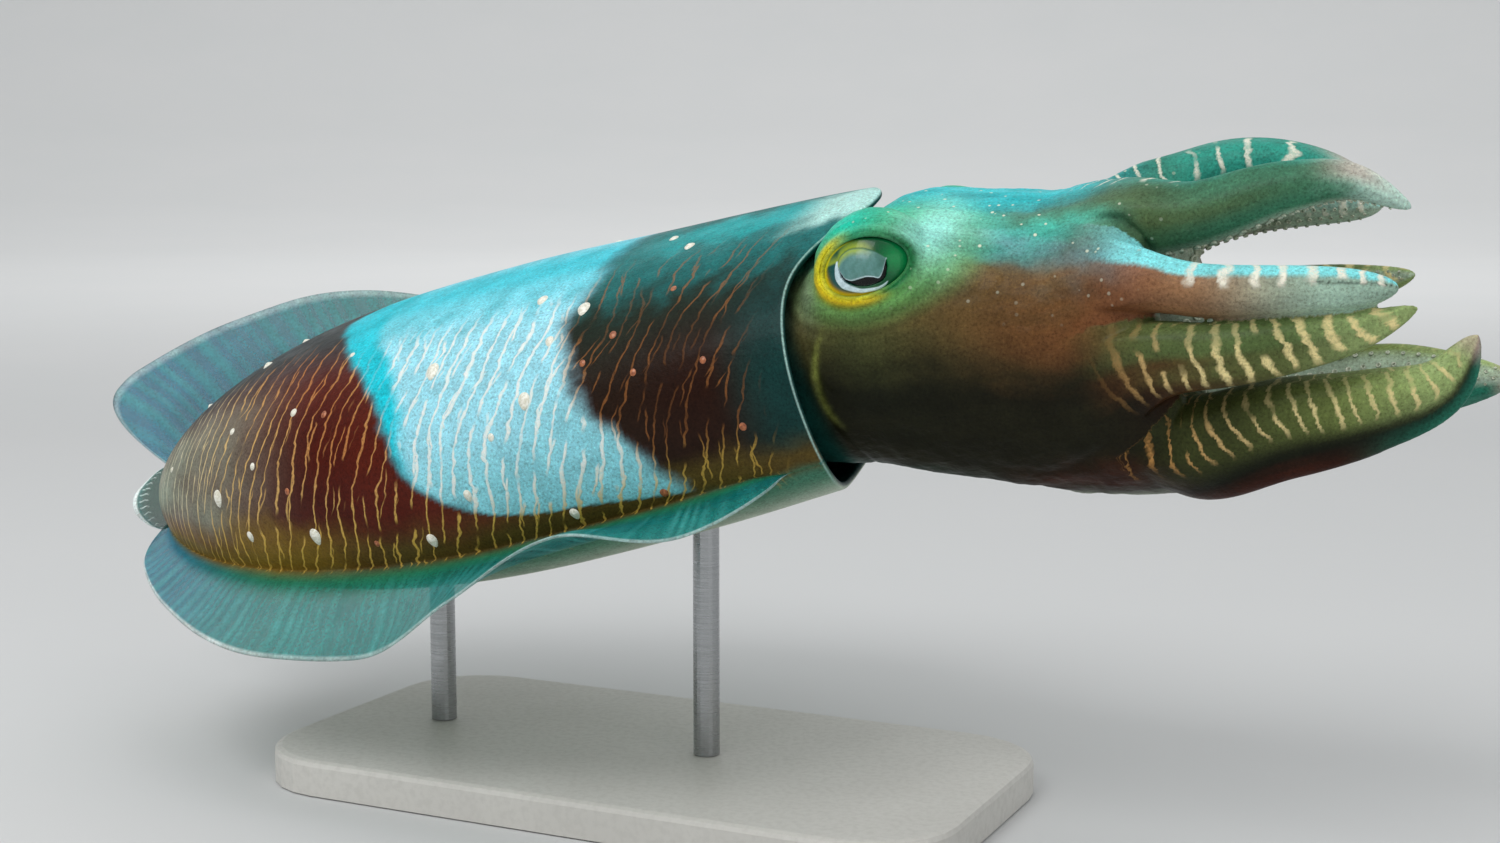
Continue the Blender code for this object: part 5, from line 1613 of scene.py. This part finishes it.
def eye_look(a, b, facing):
    """Colours, and relief in metres, of an eyeball at millimetres forwards and up from its middle."""
    reach, bearing = opening_polar(a, b)
    a, b = a - EYE_MARKS_AT[0], b - EYE_MARKS_AT[1]
    inner = np.clip(a, SLIT_LOW[0][0], SLIT_LOW[-1][0])
    low, high, top = (curve(marks, inner) for marks in (SLIT_LOW, SLIT_HIGH, FLAP_TOP))
    across = step(-8.9, -8.5, a) * step(6.1, 5.7, a)
    slit = step(-0.15, 0.15, b - low) * step(0.15, -0.15, b - high) * across * facing
    crescent = step(-0.16, 0.16, stroke(a, b, CRESCENT)) * facing * (1 - slit)
    crescent = crescent * (0.88 + 0.12 * wander(a, b, 2.2, 31))
    flap = step(-0.12, 0.12, b - high) * step(0.5, -0.5, b - top) * across * facing
    flap_edge = near(b - high, 0.22, 0.22) * step(-9.0, -8.4, a) * step(6.3, 5.8, a) * facing * (1 - slit)
    left = step(-0.30, 0.40, -np.cos(bearing - math.radians(14)))
    low_left = step(0.35, 0.85, -np.cos(bearing - math.radians(48)))
    tone = painted(
        IRIS_GREEN,
        (IRIS_TEAL, near(a, -9, 3.4) * near(b, 2, 5) * 0.9),
        (IRIS_BRIGHT, 0.85 * near(a, 8.5, 3.6) * near(b, 2.6, 4.6)),
        (IRIS_BRIGHT, 0.6 * near(a, 2.0, 6.0) * near(b, -5.8, 1.4)),
        (IRIS_LIME, 0.7 * step(0.0, 0.9, b - top) * step(3.5, 0.5, b - top) * step(4.0, -1.0, a)),
        (RING_YELLOW, 0.95 * step(0.80, 0.92, reach) * left),
        (RING_ORANGE, 0.55 * near(reach, 0.86, 0.07) * low_left),
        (FLAP_GREY, 0.95 * flap * (0.85 + 0.15 * wander(a, b, 1.9, 33))),
        (IRIS_LIME, 0.75 * flap * step(2.6, 0.2, top - b) * step(4, -3, a)),
        (FLAP_DARK, 0.7 * flap * step(1.5, 5.0, a) * step(-1, 2, b)),
        (CRESCENT_WHITE, np.clip(crescent, 0, 1)),
        (CRESCENT_WHITE, 0.9 * flap_edge),
        (PUPIL, slit),
    )
    cushion = near(np.hypot(a + 0.8, 1.3 * (b - 1.8)), 0, 8.5)
    raised = 0.0007 * flap * cushion + 0.00025 * crescent - 0.0009 * slit
    return tone, raised - 0.0004 * step(0.80, 1.0, reach)


def build_eyes(head_pose):
    """Both eyes: a ball with its W-shaped pupil under a flap, its white crescent and its yellow rim."""
    degrees = np.linspace(0.15, 66, EYE_FRONT_ROWS), np.linspace(70, 176, EYE_REAR_ROWS)
    polar = np.radians(np.concatenate(degrees))[:, None, None]
    around = turns(EYE_COLUMNS)[:, None]
    for side, word in ((-1, "right"), (1, "left")):
        way, forward, up = eye_axes(side)
        ray = np.sin(polar) * (np.cos(around) * forward + np.sin(around) * up) + np.cos(polar) * way
        mm = 1000 * EYE_RADIUS * ray
        tone, raised = eye_look(mm @ forward, mm @ up, np.cos(polar[..., 0]) > 0.2)
        rows = eye_centre(side) + (EYE_RADIUS - EYE_INSET + raised)[..., None] * ray
        ends = (eye_centre(side) + pole * EYE_RADIUS * way for pole in (1, -1))
        points, quads, triangles = tube(rows, *ends)
        made = closed(f"eye_{word}", (placed(points, head_pose), quads, triangles))
        attribute(made, "tone", np.concatenate([tone.reshape(-1, 3), [tone[0].mean(0), tone[-1].mean(0)]]))
        show(f"eye_{word}_ball", made, [eye_material()], [f"eye_{word}"])


def eye_material():
    """A wet eye: its painted colours under a clear gloss, with fine flecks."""
    made = Nodes("eye_finish")
    fleck = made.noise(made.place, FLECK_SCALE, 3.0, 0.7)
    tone = made.read("tone", "Color")
    made.shade({
        "Base Color": made.tinted(made.ramp(fleck, 0.45, 0.7, 0.0, 0.35), tone, tone, 0.35, 0.4, 0.4),
        "Roughness": made.ramp(fleck, 0.3, 0.7, 0.18, 0.34),
        "Normal": made.bump(fleck, 0.08, 0.0003),
        "Specular IOR Level": 0.16,
        "Coat Weight": 0.25,
        "Coat Roughness": 0.03,
    })
    return made.material


def cup(base, up, along, radius):
    """(points, quads, triangles) of one sucker: stalk, bulging ring and dished face with a dark hole."""
    a = turns(SUCKER_COLUMNS)[:, None]
    ring = np.cos(a) * along + np.sin(a) * np.cross(up, along)
    return tube([base + radius * (reach * ring + height * up) for reach, height in CUP_PROFILE])


def build_suckers(arms, head_pose):
    """Four rows of suckers along the inner face of each arm, shrinking to its tip."""
    cups = []
    for arm in arms:
        for row, turn in enumerate(SUCKER_TURNS):
            share = (np.arange(SUCKERS_A_ROW) + 0.5 * (row % 2)) / SUCKERS_A_ROW
            s = np.clip(0.15 + 0.82 * share, 0, 0.985)
            middle, along, side, out = arm.frame(s)
            inwards = (arm.roll(s) - math.pi / 2)[:, None]
            place = np.stack([arm.surface(u, at + turn)[0, 0] for u, at in zip(s, inwards)])
            up = 0.75 * unit(place - middle) + 0.25 * (np.cos(inwards) * side + np.sin(inwards) * out)
            up = unit(up - along * np.sum(up * along, 1, keepdims=True))
            size = SUCKER_RADIUS * (1 - 0.72 * s) * (1.0 if abs(turn) < 0.5 else 0.85)
            cups += [cup(*one) for one in zip(place, up, along, size)]
    finish = plain_skin("sucker_skin", rgb(206, 210, 190), rgb(150, 160, 138), 0.3, 900.0)
    small_piece("suckers", cups, head_pose, finish)


def build_papillae(body_pose):
    """Pale skin points on the mantle, as the photographed side has them, mirrored with a jitter."""
    rng = np.random.default_rng(8)
    found = {"white": [], "amber": []}
    a = turns(PAPILLA_COLUMNS)
    for t, angle, size, lift, colour in PAPILLAE:
        for side in (1, -1):
            if side < 0:
                t, angle = t + rng.uniform(-0.03, 0.03), angle + rng.uniform(-7, 7)
                size *= rng.uniform(0.7, 1.2)
            at = side * math.radians(angle)
            base, normal = mantle_point(t, at), mantle_normal(t, at)
            ahead = mantle_point(t - 0.002, at) - mantle_point(t + 0.002, at)
            ahead = unit(ahead - normal * np.dot(ahead, normal))
            kite = 1 + 0.45 * np.clip(-np.sin(a) * side, 0, 1) ** 3 * (size > 0.0013)
            across = (np.sin(a) * kite * 1.15)[:, None] * np.cross(normal, ahead)
            ring = np.cos(a)[:, None] * ahead + across
            up = lift * normal
            rows = [base + size * (reach * ring + height * up) for reach, height in PAPILLA_PROFILE]
            found[colour].append(tube(rows, last=base + 0.9 * size * up))
    for colour, one, two in (
        ("white", rgb(246, 244, 232), rgb(214, 210, 190)), ("amber", rgb(186, 112, 66), rgb(132, 70, 42)),
    ):
        name = f"papillae_{colour}"
        small_piece(name, found[colour], body_pose, plain_skin(name, one, two, 0.4, 1200.0))


def build_beak(head_pose):
    """The horny beak between the lips."""
    rings = crown_rings(BEAK_PROFILE, BEAK_COLUMNS, 0.9)
    finish = plain_skin("beak_finish", rgb(60, 40, 26), rgb(26, 18, 14), 0.25, 700.0)
    small_piece("beak_horn", [tube(rings, last=np.array(BEAK_TIP))], head_pose, finish, ["beak"])


def finish_stand():
    """A matt painted board with a fine grain, and brushed metal rods."""
    board = Nodes("stand_paint")
    grain = board.noise(board.place, 420.0, 4.0, 0.6)
    clouds = board.ramp(board.noise(board.place, 9.0, 3.0, 0.5), 0.3, 0.7)
    tone = board.mix(clouds, (*rgb(214, 212, 206), 1), (*rgb(200, 198, 192), 1))
    board.shade({
        "Base Color": board.mix(board.ramp(grain, 0.4, 0.7, 0.0, 0.25), tone, (*rgb(176, 174, 168), 1)),
        "Roughness": board.ramp(grain, 0.3, 0.7, 0.42, 0.58),
        "Normal": board.bump(grain, 0.2, 0.0003),
    })
    metal = Nodes("stand_steel")
    brushed = metal.noise(metal.stretch(metal.place, (1.0, 1.0, 60.0)), 40.0, 3.0, 0.6)
    metal.shade({
        "Base Color": metal.mix(brushed, (*rgb(186, 188, 190), 1), (*rgb(150, 152, 154), 1)),
        "Metallic": 1.0,
        "Roughness": metal.ramp(brushed, 0.3, 0.7, 0.22, 0.38),
        "Normal": metal.bump(brushed, 0.1, 0.0002),
    })
    for name, finish in (("stand_base", board), ("stand_rod_front", metal), ("stand_rod_rear", metal)):
        for material_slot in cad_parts[name].material_slots:
            material_slot.link = "OBJECT"
            material_slot.material = finish.material


# Studio and camera

def build_stage():
    """A wide pale bowl: a flat floor whose far edges curve up."""
    a = turns(FLOOR_COLUMNS)
    rows = np.array([
        np.stack([radius * np.cos(a), radius * np.sin(a), np.full_like(a, height - FLOOR_DROP)], -1)
        for radius, height in BOWL
    ])
    points = np.concatenate([rows.reshape(-1, 3), [[0, 0, -FLOOR_DROP]]])
    middle = fan(len(points) - 1, 0, FLOOR_COLUMNS)
    made = mesh_of("studio_floor", points, ring_faces(len(rows), FLOOR_COLUMNS), middle)
    paper = Nodes("studio_paper")
    field = paper.noise(paper.place, 3.0, 3.0, 0.5)
    paper.shade({
        "Base Color": paper.mix(field, (0.60, 0.61, 0.61, 1), (0.63, 0.63, 0.63, 1)),
        "Roughness": 0.85,
    })
    made.materials.append(paper.material)
    floor = linked("studio_floor", made)


def build_light(name, place, target, size, power):
    """A soft square light looking at a point."""
    lamp = bpy.data.lights.new(name, "AREA")
    lamp.shape, lamp.size, lamp.energy = "SQUARE", size, power
    thing = linked(name, lamp)
    thing.location = place
    thing.rotation_euler = (Vector(target) - Vector(place)).to_track_quat("-Z", "Y").to_euler()


def build_world():
    """An even pale light from all round, and plain colours."""
    world = bpy.data.worlds.new("studio")
    world.use_nodes = True
    background = world.node_tree.nodes["Background"].inputs
    background["Color"].default_value, background["Strength"].default_value = WORLD_COLOUR, WORLD_STRENGTH
    bpy.context.scene.world = world
    bpy.context.scene.view_settings.view_transform = "Standard"


def build_camera():
    """The photograph's viewpoint: a little ahead of the animal's right side and just above it."""
    lens = bpy.data.cameras.new("camera")
    lens.sensor_width, lens.lens = SENSOR_WIDTH, SENSOR_WIDTH * FOCAL_PIXELS / IMAGE_WIDTH
    lens.clip_start, lens.clip_end = 0.01, 60.0
    camera = linked("camera", lens)
    camera.location = CAMERA_PLACE
    camera.rotation_euler = (math.pi / 2 - CAMERA_DOWN, 0.0, CAMERA_YAW)
    bpy.context.scene.camera = camera


def build():
    """The dressed model in its studio."""
    arms = all_arms()
    body_pose = (
        Matrix.Translation((NECK_FORWARD, 0, NECK_HEIGHT))
        @ Matrix.Rotation(-NOSE_UP, 4, "Y")
        @ Matrix.Rotation(RIGHT_SIDE_DOWN, 4, "X")
    )
    head_pose = body_pose @ Matrix.Rotation(-HEAD_UNROLL, 4, "X")
    build_skin(arms, body_pose, head_pose)
    build_eyes(head_pose)
    build_suckers(arms, head_pose)
    build_papillae(body_pose)
    build_beak(head_pose)
    finish_stand()
    build_stage()
    for light in LIGHTS:
        build_light(*light)
    build_world()
    build_camera()


build()
